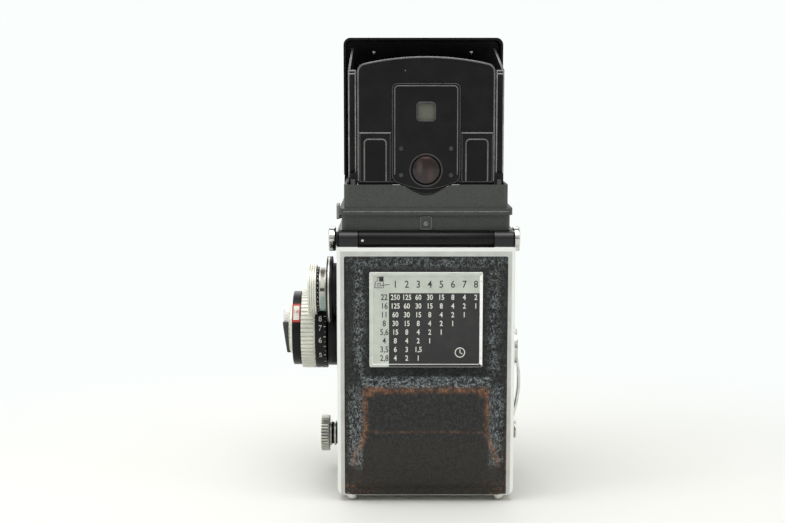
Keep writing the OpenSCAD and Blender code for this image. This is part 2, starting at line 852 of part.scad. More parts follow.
body_shell();
side_plate_focus();
side_plate_crank();
side_leathers();
front_plate();
front_leather();
light_cone();
film_gate();
roller_upper();
roller_lower();
mirror();
focusing_screen();
strap_lugs();
back_hinge();
knob_flange();
crank_bezel();
counter_window();
counter_dial();
sync_socket();
lens_standard();
shutter_housing();
taking_barrel();
viewing_barrel();
lens_glass();
iris_blades();
aperture_wheel();
speed_wheel();
sync_lever();
focus_knob();
distance_dial();
focus_shaft();
film_speed_dial();
release_button();
release_lock();
wind_crank();
crank_handle();
take_up_spool();
take_up_knob();
supply_knob();
back_cover();
back_floor();
back_leather();
exposure_table();
pressure_plate();
pressure_spring();
feet();
tripod_boss();
back_latch();
hood_base();
hood_catch();
hood_lid();
finder_flap();
magnifier();
hood_side_right();
hood_side_left();
hood_back();
eyepiece_lens();
peep_window();
hood_rivets();
table_screws();
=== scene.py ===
"""Twin lens reflex camera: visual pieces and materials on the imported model's frame."""

import json
from math import cos, exp, hypot, log, pi, radians, sin, sqrt

import bmesh
import bpy
from mathutils import Matrix, Vector


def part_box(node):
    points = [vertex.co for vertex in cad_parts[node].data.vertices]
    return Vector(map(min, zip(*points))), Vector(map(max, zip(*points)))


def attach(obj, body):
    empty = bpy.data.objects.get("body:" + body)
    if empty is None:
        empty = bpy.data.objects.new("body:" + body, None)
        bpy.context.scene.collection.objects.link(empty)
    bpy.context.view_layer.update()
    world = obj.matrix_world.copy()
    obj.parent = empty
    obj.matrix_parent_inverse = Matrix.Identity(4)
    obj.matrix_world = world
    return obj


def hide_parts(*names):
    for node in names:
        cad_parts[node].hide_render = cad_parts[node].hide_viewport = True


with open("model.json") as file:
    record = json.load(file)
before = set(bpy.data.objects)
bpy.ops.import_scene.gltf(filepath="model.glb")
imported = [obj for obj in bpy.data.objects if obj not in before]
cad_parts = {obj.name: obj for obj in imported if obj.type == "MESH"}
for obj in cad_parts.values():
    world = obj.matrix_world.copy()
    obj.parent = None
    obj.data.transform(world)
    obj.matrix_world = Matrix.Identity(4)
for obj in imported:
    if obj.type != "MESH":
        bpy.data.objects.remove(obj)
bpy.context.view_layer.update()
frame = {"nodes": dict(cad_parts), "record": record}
NODES = frame["nodes"]
BODY_OF = {n: b for b, ns in frame["record"]["behaviour"]["bodies"].items() for n in ns}
MM = 0.001


def mid(node):
    """Middle of a CAD node's box, in millimetres."""
    lo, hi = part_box(node)
    return [(a + b) / 2 / MM for a, b in zip(lo, hi)]


def span(node):
    """Low and high corner of a CAD node's box, in millimetres."""
    lo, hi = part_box(node)
    return [v / MM for v in lo], [v / MM for v in hi]


# ---------------------------------------------------------------- materials


def grey(value):
    """A display grey from 0 to 255 as a linear colour."""
    return rgb(value, value, value)


def rgb(r, g, b):
    def linear(v):
        v /= 255
        return v / 12.92 if v <= 0.04045 else ((v + 0.055) / 1.055) ** 2.4

    return (linear(r), linear(g), linear(b), 1.0)


def shade(tone, k=1.0):
    """A display colour made darker by a factor."""
    return rgb(*(c * k for c in tone))


def put(tree, socket, value):
    """Links another socket to this one, or sets its value."""
    if isinstance(value, bpy.types.NodeSocket):
        tree.links.new(value, socket)
    else:
        socket.default_value = value


def add_node(tree, kind, inputs, **settings):
    """A new shader node; inputs are by name or number, settings are its properties."""
    n = tree.nodes.new("ShaderNode" + kind)
    for key, value in settings.items():
        setattr(n, key, value)
    for key, value in inputs.items():
        if value is not None:
            put(tree, n.inputs[key], value)
    return n


class Shader:
    """A material built from procedural nodes, in the object's own coordinates (metres)."""

    def __init__(self, name):
        self.material = bpy.data.materials.new(name)
        self.material.use_nodes = True
        self.tree = self.material.node_tree
        self.tree.nodes.clear()
        self.out = self.node("OutputMaterial", {})
        self.bsdf = self.node("BsdfPrincipled", {})
        put(self.tree, self.out.inputs[0], self.bsdf.outputs[0])
        self.co = self.node("TexCoord", {}).outputs["Object"]
        self.parts = self.node("SeparateXYZ", {0: self.co}).outputs

    def node(self, kind, inputs, **settings):
        return add_node(self.tree, kind, inputs, **settings)

    def set(self, **values):
        for key, value in values.items():
            put(self.tree, self.bsdf.inputs[key.replace("_", " ")], value)

    def math(self, op, a, b=None, clamp=False):
        return self.node("Math", {0: a, 1: b}, operation=op, use_clamp=clamp).outputs[0]

    def mul(self, a, b):
        return self.math("MULTIPLY", a, b)

    def add(self, a, b):
        return self.math("ADD", a, b)

    def sub(self, a, b):
        return self.math("SUBTRACT", a, b)

    def abs(self, a):
        return self.math("ABSOLUTE", a)

    def axis(self, i):
        return self.parts[i]

    def mm(self, i):
        return self.mul(self.axis(i), 1000.0)

    def noise(self, size, detail=3.0, rough=0.55, distortion=0.0, co=None):
        """Noise whose features are about size millimetres wide."""
        inputs = {"Vector": co or self.co, "Scale": 1000.0 / size, "Detail": detail, "Roughness": rough,
                  "Distortion": distortion}
        return self.node("TexNoise", inputs).outputs["Fac"]

    def warp(self, size, amount):
        """Object coordinates pushed about by noise, amount in millimetres."""
        n = self.node("TexNoise", {"Vector": self.co, "Scale": 1000.0 / size, "Detail": 2.0})
        push = {0: n.outputs["Color"], 1: (amount * 0.002,) * 3, 2: self.co}
        return self.node("VectorMath", push, operation="MULTIPLY_ADD").outputs[0]

    def cells(self, size, feature, co, smooth=None):
        inputs = {"Vector": co, "Scale": 1000.0 / size, "Smoothness": smooth, "Randomness": 1.0}
        return self.node("TexVoronoi", inputs, feature=feature).outputs["Distance"]

    def stretch(self, sx, sy, sz):
        return self.node("VectorMath", {0: self.co, 1: (sx, sy, sz)}, operation="MULTIPLY").outputs[0]

    def remap(self, value, a, b, c=0.0, d=1.0):
        inputs = dict(enumerate((value, a, b, c, d)))
        return self.node("MapRange", inputs, interpolation_type="SMOOTHSTEP").outputs[0]

    def mix(self, fac, a, b):
        return self.node("Mix", {0: fac, 6: a, 7: b}, data_type="RGBA").outputs[2]

    def bump(self, height, strength, distance):
        """Finishes the material with a bump of so many millimetres, and returns it."""
        inputs = {"Strength": strength, "Distance": distance * MM, "Height": height}
        self.set(Normal=self.node("Bump", inputs).outputs[0])
        return self.material


def black_enamel(name, tone=30, rough=0.34, dust=0.5, peel=0.12):
    """Black stoved enamel with a little orange peel, dust and rubbed patches."""
    s = Shader(name)
    cloud = s.noise(9, 5, 0.6)
    speck = s.remap(s.noise(0.45, 2, 0.5), 0.66, 0.74)
    dusty = s.math("MULTIPLY", speck, dust, clamp=True)
    tint = s.mix(s.remap(cloud, 0.35, 0.7), grey(tone - 3), grey(tone + 3))
    s.set(Base_Color=s.mix(dusty, tint, grey(tone + 22)))
    s.set(Roughness=s.remap(cloud, 0.3, 0.75, rough - 0.04, rough + 0.07), Specular_IOR_Level=0.2)
    return s.bump(s.noise(0.55, 2, 0.5), peel, 0.05)


def worn_edge(name, metal=150, paint=34, amount=0.5):
    """Bare bright metal that shows where enamel has rubbed off an edge."""
    s = Shader(name)
    rub = s.remap(s.noise(2.6, 4, 0.65), 0.55 - 0.4 * amount, 0.95 - 0.4 * amount)
    s.set(Base_Color=s.mix(rub, grey(paint), rgb(metal, metal, metal - 6)))
    s.set(Metallic=s.mul(rub, 0.4), Roughness=s.remap(rub, 0, 1, 0.36, 0.3))
    return s.bump(s.noise(0.3, 2, 0.5), 0.1, 0.03)


def painted_edge_highlight(name, tone):
    """Painted highlight along a rounded edge of the enamel: a soft, unbroken paler line."""
    s = Shader(name)
    run = s.remap(s.noise(5, 4, 0.6), 0.3, 0.7)
    s.set(Base_Color=s.mix(run, grey(tone * 0.8), rgb(tone, tone, tone - 3)), Metallic=0.3)
    s.set(Roughness=s.remap(run, 0, 1, 0.24, 0.34))
    return s.bump(s.noise(0.4, 2, 0.5), 0.06, 0.02)


def satin_metal(name, tone=(206, 206, 198), rough=0.3, metallic=0.85, brush=(1, 1, 1), marks=0.35):
    """Satin chrome or alloy: fine brushing, faint stains and hairline scratches."""
    s = Shader(name)
    fine = s.noise(0.22, 3, 0.6, co=s.stretch(*brush))
    stain = s.noise(6, 5, 0.62)
    pits = s.remap(s.noise(0.7, 3, 0.6), 0.68, 0.76)
    base = s.mix(s.remap(stain, 0.35, 0.7), shade(tone), shade(tone, 0.95))
    s.set(Base_Color=s.mix(s.mul(pits, marks), base, shade(tone, 0.55)))
    s.set(Metallic=metallic)
    s.set(Roughness=s.add(s.remap(stain, 0.3, 0.7, rough - 0.02, rough + 0.05), s.mul(fine, 0.1)))
    return s.bump(fine, 0.14, 0.03)


def polished(name, tone=(214, 214, 208), rough=0.09):
    """Bright chrome with faint haze and handling marks."""
    s = Shader(name)
    haze = s.noise(3.5, 5, 0.6)
    s.set(Base_Color=s.mix(s.remap(haze, 0.4, 0.7), shade(tone), shade(tone, 0.9)), Metallic=1.0)
    s.set(Roughness=s.remap(haze, 0.35, 0.75, rough, rough + 0.12))
    return s.bump(s.noise(0.5, 2, 0.5), 0.05, 0.02)


def crinkle(name, tone=50):
    """Fine crinkle lacquer, its wrinkle crests painted lighter as a painted highlight."""
    s = Shader(name)
    wrinkle = s.noise(0.55, 4, 0.7, 1.2)
    grain = s.cells(0.42, "SMOOTH_F1", co=s.warp(0.8, 0.25), smooth=0.6)
    height = s.add(wrinkle, s.mul(grain, 0.7))
    wide = s.noise(14, 4, 0.6)
    low, high = rgb(tone - 3, tone - 1, tone - 3), rgb(tone + 3, tone + 5, tone + 2)
    base = s.mix(s.remap(wide, 0.3, 0.7), low, high)
    # the crests of the wrinkles are painted lighter: painted highlight
    s.set(Base_Color=s.mix(s.remap(height, 0.5, 1.0), base, rgb(tone + 16, tone + 18, tone + 14)))
    s.set(Specular_IOR_Level=0.3, Roughness=0.52)
    return s.bump(height, 0.55, 0.10)


def pebbled(name, worn=False):
    """Black pebbled leather, darker in the creases of its grain as painted shade, with painted glints along
    its grain. The back's leather is rubbed brown along the edges of its bulge, and its painted glints gather
    in bands where the bulge and its edges catch the light.
    """
    s = Shader(name)
    crease = s.cells(1.35, "DISTANCE_TO_EDGE", co=s.warp(1.3, 0.9))
    pebble = s.cells(1.05, "SMOOTH_F1", co=s.warp(1.5, 0.6), smooth=0.4)
    fine = s.noise(0.4, 4, 0.65)
    valley = s.remap(crease, 0.0, 0.2)
    height = s.add(s.mul(valley, 0.8), s.sub(s.mul(fine, 0.35), s.mul(pebble, 0.7)))
    patch = s.noise(8, 5, 0.6)
    # darker in the creases of the grain than on the pebbles: painted shade
    dark, top = rgb(15, 15, 15), rgb(34, 35, 35)
    colour = s.mix(s.mul(valley, s.remap(patch, 0.3, 0.75, 0.5, 1.0)), dark, top)
    # short curved painted glints (painted highlights) along the shoulders of the grain
    wander = s.abs(s.sub(s.noise(1.0, 2, 0.5, 0.8, co=s.stretch(1.25, 1, 0.8)), 0.5))
    shoulder = s.mul(s.remap(wander, 0.065, 0.015), s.remap(s.noise(1.7, 3, 0.6), 0.38, 0.56))
    rough = s.remap(patch, 0.35, 0.7, 0.34, 0.46)
    painted_glint_strength = 0.12
    if worn:
        x, z = s.mm(0), s.mm(2)
        ax = s.abs(x)
        ragged = s.mul(s.sub(s.noise(2.0, 5, 0.7), 0.5), 4.2)

        def line(distance, width):
            """1 on a line, falling to 0 at width, with a ragged edge."""
            d = s.add(s.abs(distance), ragged)
            return s.remap(d, width, width * -0.2)

        def between(value, a, b, soft=1.5):
            return s.mul(s.remap(value, a - soft, a + soft), s.remap(value, b + soft, b - soft))

        def top_of(*masks):
            out = masks[0]
            for m in masks[1:]:
                out = s.math("MAXIMUM", out, m)
            return out

        inner = s.sub(ax, s.remap(z, 34.0, 17.0, 27.0, 32.4))
        top_edge = s.mul(line(s.sub(z, 52.3), 2.3), between(ax, -5, 27.6))
        corner = s.mul(between(z, 49.5, 53.4, 1.2), between(ax, 23.5, 27.5, 1.6))
        side_edge = s.mul(line(inner, 2.1), between(z, 17, 53))
        side_edge = s.mul(side_edge, s.remap(s.noise(6, 3, 0.6), 0.3, 0.6, 0.35, 1.0))
        crease_line = s.mul(line(s.sub(z, 33.4), 1.0), between(ax, -5, 27))
        rim = s.mul(line(s.sub(ax, 36.4), 1.0), between(z, 5, 56))
        foot = s.mul(s.remap(z, 15, 5), s.remap(ax, 15, 33))
        foot = s.mul(foot, s.remap(s.noise(1.1, 4, 0.7), 0.5, 0.62))
        wear = top_of(s.mul(top_edge, 0.8), s.mul(corner, 0.75), side_edge,
                      s.mul(crease_line, 0.3), s.mul(rim, 0.6), s.mul(foot, 0.6))
        flecks = s.remap(s.noise(0.9, 4, 0.7), 0.34, 0.62)
        brown = s.mix(s.remap(s.noise(2.2, 4, 0.6), 0.4, 0.62), rgb(98, 62, 42), rgb(172, 116, 76))
        face = s.mul(between(ax, -5, 26.5, 1.2), between(z, 6, 53, 1.2))
        low = s.remap(z, 35, 27)
        calm = s.math("MAXIMUM", s.mul(face, 0.35), s.mul(low, 0.8))
        # the calmer face and the lower part are a paler tan, again darker in the creases as painted shade
        tan = s.mix(s.mul(valley, 0.7), rgb(33, 31, 28), rgb(56, 53, 47))
        colour = s.mix(calm, colour, tan)
        colour = s.mix(s.mul(wear, s.remap(flecks, 0, 1, 0.3, 0.85)), colour, brown)
        rough = s.add(rough, s.mul(calm, 0.12))
        height = s.mul(height, s.remap(calm, 0, 1, 1.0, 0.45))
        # bands where the painted glints are stronger: painted highlights on the bulge's sides, head, top slope
        # and wings
        left = s.mul(line(s.sub(x, 29.6), 3.6), between(z, 58, 108, 4))
        right = s.mul(line(s.add(x, 30.2), 4.0), between(z, 58, 109, 4))
        head = s.mul(between(z, 106.5, 110.5, 1.5), 0.5)
        slope = s.mul(between(z, 53.6, 57.2, 0.7), between(ax, -5, 29, 2))
        wings = s.mul(between(ax, 28.2, 34.5, 1.2), between(z, 17, 53, 3))
        painted_highlight_bands = top_of(left, s.mul(right, 0.8), head, slope, s.mul(wings, 0.9))
        painted_glint_strength = s.add(s.mul(painted_highlight_bands, 0.85), s.remap(calm, 0, 0.8, 0.11, 0.03))
    # mixes in the painted glints as pale blue-grey painted highlights
    colour = s.mix(s.mul(shoulder, painted_glint_strength), colour, rgb(158, 168, 168))
    s.set(Base_Color=colour, Roughness=rough, Specular_IOR_Level=0.3)
    return s.bump(height, 1.0, 0.3)


def clear_glass(name, tint=(236, 238, 240), rough=0.02):
    """Clear lens glass, very slightly uneven."""
    s = Shader(name)
    s.set(Base_Color=rgb(*tint), Roughness=rough, IOR=1.52, Transmission_Weight=0.75)
    return s.bump(s.noise(4, 2, 0.5), 0.02, 0.02)


def coated_lens(name, deep, sheen):
    """Nearly black lens seen from outside, with bluish reflections."""
    s = Shader(name)
    swirl = s.noise(5, 3, 0.5, 1.5)
    tone = s.mix(s.remap(swirl, 0.35, 0.7), rgb(*deep), rgb(*sheen))
    s.set(Base_Color=tone, Roughness=0.07, Coat_Weight=1.0, Coat_Roughness=0.03)
    return s.bump(s.noise(3, 1, 0.5), 0.02, 0.02)


def eyepiece(name, height):
    """Brownish-red glass with two soft upright painted reflections, a painted light band near its top, and a
    darker rim.
    """
    s = Shader(name)
    x, z = s.mm(0), s.sub(s.mm(2), height)

    def painted_reflection(cx, cz, wx, wz):
        u = s.math("POWER", s.math("DIVIDE", s.sub(x, cx), wx), 2.0)
        v = s.math("POWER", s.math("DIVIDE", s.sub(z, cz), wz), 2.0)
        return s.remap(s.math("SQRT", s.add(u, v)), 1.0, 0.1)

    cloud = s.noise(2.5, 3, 0.6, 0.8)
    tone = s.mix(cloud, rgb(26, 18, 18), rgb(40, 27, 26))
    # painted reflections mixed into the glass's colour
    tone = s.mix(s.mul(painted_reflection(2.8, 1.4, 2.0, 4.8), 0.6), tone, rgb(76, 66, 64))
    tone = s.mix(s.mul(painted_reflection(-2.0, -2.4, 2.2, 4.4), 0.55), tone, rgb(78, 46, 42))
    tone = s.mix(s.mul(painted_reflection(0.2, 5.6, 4.4, 1.0), 0.7), tone, rgb(96, 68, 64))
    s.set(Base_Color=tone, Roughness=0.22, Specular_IOR_Level=0.35, Coat_Weight=0.3, Coat_Roughness=0.08)
    return s.bump(cloud, 0.03, 0.02)


def ground_glass(name):
    s = Shader(name)
    grain = s.noise(0.2, 3, 0.6)
    s.set(Base_Color=s.mix(grain, rgb(196, 202, 200), rgb(224, 228, 226)), Roughness=0.42)
    s.set(Transmission_Weight=0.25)
    return s.bump(grain, 0.2, 0.02)


def ink(name, tone, rough=0.5, metallic=0.0):
    """Printed or filled lettering, a little uneven."""
    s = Shader(name)
    patch = s.noise(0.5, 3, 0.6)
    s.set(Base_Color=s.mix(s.remap(patch, 0.35, 0.7), shade(tone), shade(tone, 0.88)))
    s.set(Roughness=rough, Metallic=metallic)
    return s.bump(patch, 0.05, 0.02)


def table_enamel(name, x_left, z_head):
    """Exposure table plate: light head and left column, black field, all slightly speckled."""
    s = Shader(name)
    field = s.mul(s.math("LESS_THAN", s.mm(0), x_left), s.math("LESS_THAN", s.mm(2), z_head))
    cloud = s.noise(5, 5, 0.6)
    scuff = s.remap(s.noise(0.5, 3, 0.6), 0.68, 0.78)
    light = s.mix(s.remap(cloud, 0.35, 0.7), rgb(198, 202, 191), rgb(186, 190, 180))
    dark = s.mix(s.remap(cloud, 0.35, 0.7), rgb(30, 31, 30), rgb(40, 41, 39))
    base = s.mix(field, light, dark)
    s.set(Base_Color=s.mix(s.mul(scuff, 0.25), base, rgb(120, 120, 114)))
    s.set(Roughness=0.38, Metallic=0.0)
    return s.bump(s.noise(0.4, 3, 0.5), 0.06, 0.02)


def frame_cover(name):
    """Satin frame of the back: rolled outer edge painted brighter, partly for its finer polish and partly as a
    painted highlight; duller inner band, black hinge knuckles on top.
    """
    s = Shader(name)
    x, z = s.mm(0), s.mm(2)
    ax = s.abs(x)
    edge = s.math("MAXIMUM", s.remap(ax, 37.6, 38.2), s.remap(z, 113.1, 113.7))
    fine = s.noise(0.25, 3, 0.6, co=s.stretch(1, 1, 0.2))
    stain = s.noise(7, 5, 0.6)
    pits = s.mul(s.remap(s.noise(0.8, 3, 0.6), 0.7, 0.78), 0.3)
    dull = s.mix(s.remap(stain, 0.35, 0.7), rgb(198, 200, 195), rgb(186, 187, 181))
    # the rolled outer edge is brighter, partly for its polish and partly as a painted highlight
    tone = s.mix(edge, dull, rgb(238, 239, 234))
    tone = s.mix(pits, tone, rgb(120, 118, 110))
    knuckle = s.math("GREATER_THAN", z, 115.35)
    s.set(Base_Color=s.mix(knuckle, tone, grey(17)))
    s.set(Metallic=s.mul(s.sub(1.0, knuckle), 0.35))
    s.set(Roughness=s.add(s.remap(edge, 0, 1, 0.4, 0.26), s.mul(fine, 0.1)))
    return s.bump(fine, 0.12, 0.03)


ENAMEL = black_enamel("black_enamel", tone=17)
ENAMEL_DEEP = black_enamel("black_enamel_deep", tone=12, rough=0.3, dust=0.3)
WORN = worn_edge("rubbed_enamel_edge", 128, 62, 0.8)
WORN_SOFT = worn_edge("faint_enamel_edge", 96, 40, 0.6)
MATT_BLACK = black_enamel("matt_black", tone=10, rough=0.75, dust=0.2, peel=0.3)
SATIN = satin_metal("satin_chrome")
COVER_METAL = frame_cover("cover_frame")
RIM_METAL = satin_metal("plate_rim", (252, 252, 248), 0.3, 0.1, marks=0.1)
FRAME_METAL = satin_metal("frame_metal", (222, 223, 216), 0.42, 0.35, marks=0.25)
IVORY_METAL = satin_metal("knob_alloy", (226, 226, 214), 0.38, 0.45, (0.25, 1, 1), 0.3)
GREY_METAL = satin_metal("grey_alloy", (150, 151, 146), 0.4, 0.6)
STEEL = satin_metal("turned_steel", (150, 150, 150), 0.32, 1.0, (0.2, 1, 1))
BLUED = satin_metal("blued_steel", (86, 90, 98), 0.3, 0.9)
CHROME = polished("bright_chrome")
CRINKLE = crinkle("crinkle_lacquer")
LEATHER = pebbled("pebbled_leather")
LEATHER_BACK = pebbled("pebbled_leather_worn", worn=True)
LENS = coated_lens("coated_lens", (16, 10, 26), (60, 48, 96))
EYE_LENS = eyepiece("eyepiece_glass", mid("eyepiece_lens")[2])
CLEAR = clear_glass("clear_glass")
GROUND = ground_glass("ground_glass")
OLIVE = ink("olive_pane", (96, 98, 86), 0.3)
WHITE_INK = ink("white_fill", (226, 228, 218))
BLACK_INK = ink("black_print", (34, 34, 34))
RED_INK = ink("red_fill", (178, 44, 34))
MIRROR = polished("silvered_mirror", (232, 236, 238), 0.02)


# ---------------------------------------------------------------- mesh helpers


def link(name, data):
    """Puts new data into the scene as an object."""
    ob = bpy.data.objects.new(name, data)
    bpy.context.scene.collection.objects.link(ob)
    return ob


def new_object(name, bm):
    me = bpy.data.meshes.new(name)
    bm.to_mesh(me)
    bm.free()
    return link(name, me)


def finish_piece(piece, bm, node_or_body, replaces=(), materials=(), smooth=32):
    """Turns a mesh into a piece with its materials, shading and body."""
    ob = new_object(piece, bm)
    for m in materials:
        ob.data.materials.append(m)
    ob.data.shade_smooth()
    ob.data.set_sharp_from_angle(angle=radians(smooth))
    body = BODY_OF.get(node_or_body, node_or_body)
    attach(ob, body)
    if replaces:
        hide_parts(*replaces)
    return ob


def point(bm, x, y, z):
    """New vertex at a place given in millimetres."""
    return bm.verts.new(Vector((x, y, z)) * MM)


def polar(cx, cz, r, t):
    """Point at angle t, in radians, on a circle."""
    return (cx + r * cos(t), cz + r * sin(t))


def bridge(bm, a, b, closed=True):
    """Quads between two rows of vertices, all the way round when closed."""
    count = len(a)
    pairs = [(j, (j + 1) % count) for j in range(count if closed else count - 1)]
    return [bm.faces.new((a[j], a[k], b[k], b[j])) for j, k in pairs]


def merge_flat(bm, gap):
    """Merges doubled vertices (gap in metres) and dissolves edges inside flat faces."""
    bmesh.ops.remove_doubles(bm, verts=bm.verts, dist=gap)
    bmesh.ops.dissolve_limit(bm, angle_limit=radians(0.6), verts=bm.verts, edges=bm.edges)


def round_edges(bm, edges, width, segments=2, material=None):
    """Rounds edges by width millimetres; material is the index the new faces get."""
    made = bmesh.ops.bevel(bm, geom=edges, offset=width * MM, segments=segments, profile=0.5,
                           affect="EDGES", clamp_overlap=True)
    if material is not None:
        for f in made["faces"]:
            f.material_index = material


def add_curve(bm, curve):
    """Adds a filled curve's mesh to bm."""
    holder = link(curve.name, curve)
    graph = bpy.context.evaluated_depsgraph_get()
    me = bpy.data.meshes.new_from_object(holder.evaluated_get(graph))
    bpy.data.objects.remove(holder)
    bm.from_mesh(me)
    bpy.data.meshes.remove(me)


def refine(node, materials, width=0.3, segments=2, keep=None, face_material=None,
           edge_material=None, smooth=32):
    """A copy of a CAD node with its sharp edges rounded, which stands for that node."""
    bm = bmesh.new()
    bm.from_mesh(NODES[node].data)
    merge_flat(bm, 2e-6)
    sharp = [e for e in bm.edges if len(e.link_faces) == 2 and e.calc_face_angle(0) >= radians(28)
             and (keep is None or keep((e.verts[0].co + e.verts[1].co) / 2 / MM))]
    if sharp and width:
        round_edges(bm, sharp, width, segments, edge_material)
    if face_material:
        for f in bm.faces:
            f.normal_update()
            pick = face_material(f.calc_center_median() / MM, f.normal)
            if pick is not None and (edge_material is None or f.material_index != edge_material):
                f.material_index = pick
    return finish_piece(node + "_detail", bm, node, [node], materials, smooth=smooth)


def refine_all(rows):
    """Refines plain nodes given as (node, material, rounding, segments)."""
    for node, material, *rounding in rows:
        refine(node, [material], *rounding)


def lathe(name, node, origin, axis, profile, materials, replaces=(), steps=96, teeth=(),
          pick=None, smooth=32):
    """Turned piece. profile is (distance along axis, radius) in mm;
    teeth are (from, to, count, depth) knurls; axis is x or y."""
    bm = bmesh.new()
    ox, oy, oz = origin
    rings = []
    for a, r in profile:
        ring = []
        for j in range(steps):
            t = 2 * pi * j / steps
            rr = r
            for lo, hi, count, depth in teeth:
                if lo <= a <= hi:
                    wave = 0.5 + 0.5 * cos(count * t)
                    rr -= depth * (1 - min(1.0, 2.2 * wave) ** 0.8)
            c, s = rr * cos(t), rr * sin(t)
            ring.append(point(bm, ox + a, oy + c, oz + s) if axis == "x"
                        else point(bm, ox + c, oy + a, oz + s))
        rings.append(ring)
    for (a, r), (b, q), ring, after in zip(profile, profile[1:], rings, rings[1:]):
        for f in bridge(bm, ring, after):
            if pick:
                f.material_index = pick((a + b) / 2, (r + q) / 2)
    for (a, r), ring in ((profile[0], rings[0]), (profile[-1], rings[-1])):
        if r > 0.02:
            f = bm.faces.new(ring)
            if pick:
                f.material_index = pick(a, r * 0.5)
    bmesh.ops.recalc_face_normals(bm, faces=bm.faces)
    return finish_piece(name, bm, node, replaces, materials, smooth=smooth)


def soft_corner(points, r, n=3):
    """Rounds each inside corner of an open profile by about r millimetres."""
    out = [points[0]]
    for a, b, c in zip(points, points[1:], points[2:]):
        va, vc = Vector(a) - Vector(b), Vector(c) - Vector(b)
        d = min(r, va.length * 0.45, vc.length * 0.45)
        if d < 1e-4:
            out.append(b)
            continue
        pa, pc = Vector(b) + va.normalized() * d, Vector(b) + vc.normalized() * d
        for i in range(n + 1):
            t = i / n
            p = pa * (1 - t) ** 2 + Vector(b) * 2 * t * (1 - t) + pc * t ** 2
            out.append((p.x, p.y))
    out.append(points[-1])
    return out


def tube(name, body, paths, radius, material, squash=1.0, closed=False,
         sides=10):
    """Round bead swept along polylines, joined into one mesh. squash flattens it along Y."""
    bm = bmesh.new()
    for path in paths:
        pts = [Vector(p) for p in path]
        rings = []
        count = len(pts)
        for i, p in enumerate(pts):
            before = pts[i - 1] if i or closed else p
            after = pts[(i + 1) % count] if i < count - 1 or closed else p
            along = (after - before).normalized()
            side = along.cross(Vector((0, 1, 0)))
            side = side.normalized() if side.length > 1e-4 else Vector((1, 0, 0))
            up = side.cross(along).normalized()
            ring = []
            for j in range(sides):
                t = 2 * pi * j / sides
                q = p + side * radius * cos(t) + up * radius * squash * sin(t)
                ring.append(bm.verts.new(q * MM))
            rings.append(ring)
        for a, b in zip(rings, rings[1:] + (rings[:1] if closed else [])):
            bridge(bm, a, b)
        if not closed:
            bm.faces.new(rings[0])
            bm.faces.new(rings[-1])
    bmesh.ops.recalc_face_normals(bm, faces=bm.faces)
    return finish_piece(name, bm, body, (), [material], smooth=60)


def arc(cx, cz, r, a0, a1, n, y):
    """Points of an arc from a0 to a1 degrees at depth y."""
    ends = [polar(cx, cz, r, radians(a0 + (a1 - a0) * i / n)) for i in range(n + 1)]
    return [(x, y, z) for x, z in ends]


def plate(name, node, outline, y0, y1, materials, replaces=(), bevel=0.2, holes=(), edge=None):
    """Flat plate in the XZ plane from y0 to y1 with rounded edges."""
    curve = bpy.data.curves.new(name + "_c", "CURVE")
    curve.dimensions = "2D"
    curve.fill_mode = "BOTH"
    for loop in (outline,) + tuple(holes):
        sp = curve.splines.new("POLY")
        sp.points.add(len(loop) - 1)
        for p, (x, z) in zip(sp.points, loop):
            p.co = (x * MM, z * MM, 0, 1)
        sp.use_cyclic_u = True
    curve.extrude = (y1 - y0) / 2 * MM
    bm = bmesh.new()
    add_curve(bm, curve)
    turn = Matrix(((1, 0, 0, 0), (0, 0, -1, (y0 + y1) / 2 * MM), (0, 1, 0, 0), (0, 0, 0, 1)))
    bmesh.ops.transform(bm, matrix=turn, verts=bm.verts)
    merge_flat(bm, 1e-6)
    if bevel:
        sharp = [e for e in bm.edges if len(e.link_faces) == 2 and e.calc_face_angle(0) > radians(50)]
        round_edges(bm, sharp, bevel, 2, edge)
    ob = finish_piece(name, bm, node, replaces, materials)
    ob.modifiers.new("even_normals", "WEIGHTED_NORMAL").keep_sharp = True
    return ob


def rounded(u0, u1, v0, v1, r, n=6):
    """Rounded rectangle outline, anticlockwise."""
    corners = ((u1 - r, v0 + r, -90), (u1 - r, v1 - r, 0), (u0 + r, v1 - r, 90), (u0 + r, v0 + r, 180))
    return [polar(cx, cz, r, radians(a0 + 90 * i / n)) for cx, cz, a0 in corners for i in range(n + 1)]


def square(half, z, r):
    """Rounded square about a point on the middle line."""
    return rounded(-half, half, z - half, z + half, r)


def disc_head(bm, x, y, z, r, h):
    """Small screw or rivet head added to bm, facing +Y."""
    steps = 20
    rings = []
    for a, rr in ((0.0, r), (h * 0.55, r), (h * 0.9, r * 0.82), (h, r * 0.5), (h, 0.001)):
        ring = [polar(x, z, rr, 2 * pi * j / steps) for j in range(steps)]
        rings.append([point(bm, u, y + a, v) for u, v in ring])
    for ring, after in zip(rings, rings[1:]):
        for j in range(steps):
            k = (j + 1) % steps
            bm.faces.new((ring[j], after[j], after[k], ring[k]))
    bm.faces.new(rings[0])


def screw(name, body, spots, r, h, material):
    bm = bmesh.new()
    for spot in spots:
        disc_head(bm, *spot, r, h)
    bmesh.ops.recalc_face_normals(bm, faces=bm.faces)
    return finish_piece(name, bm, body, (), [material], smooth=40)


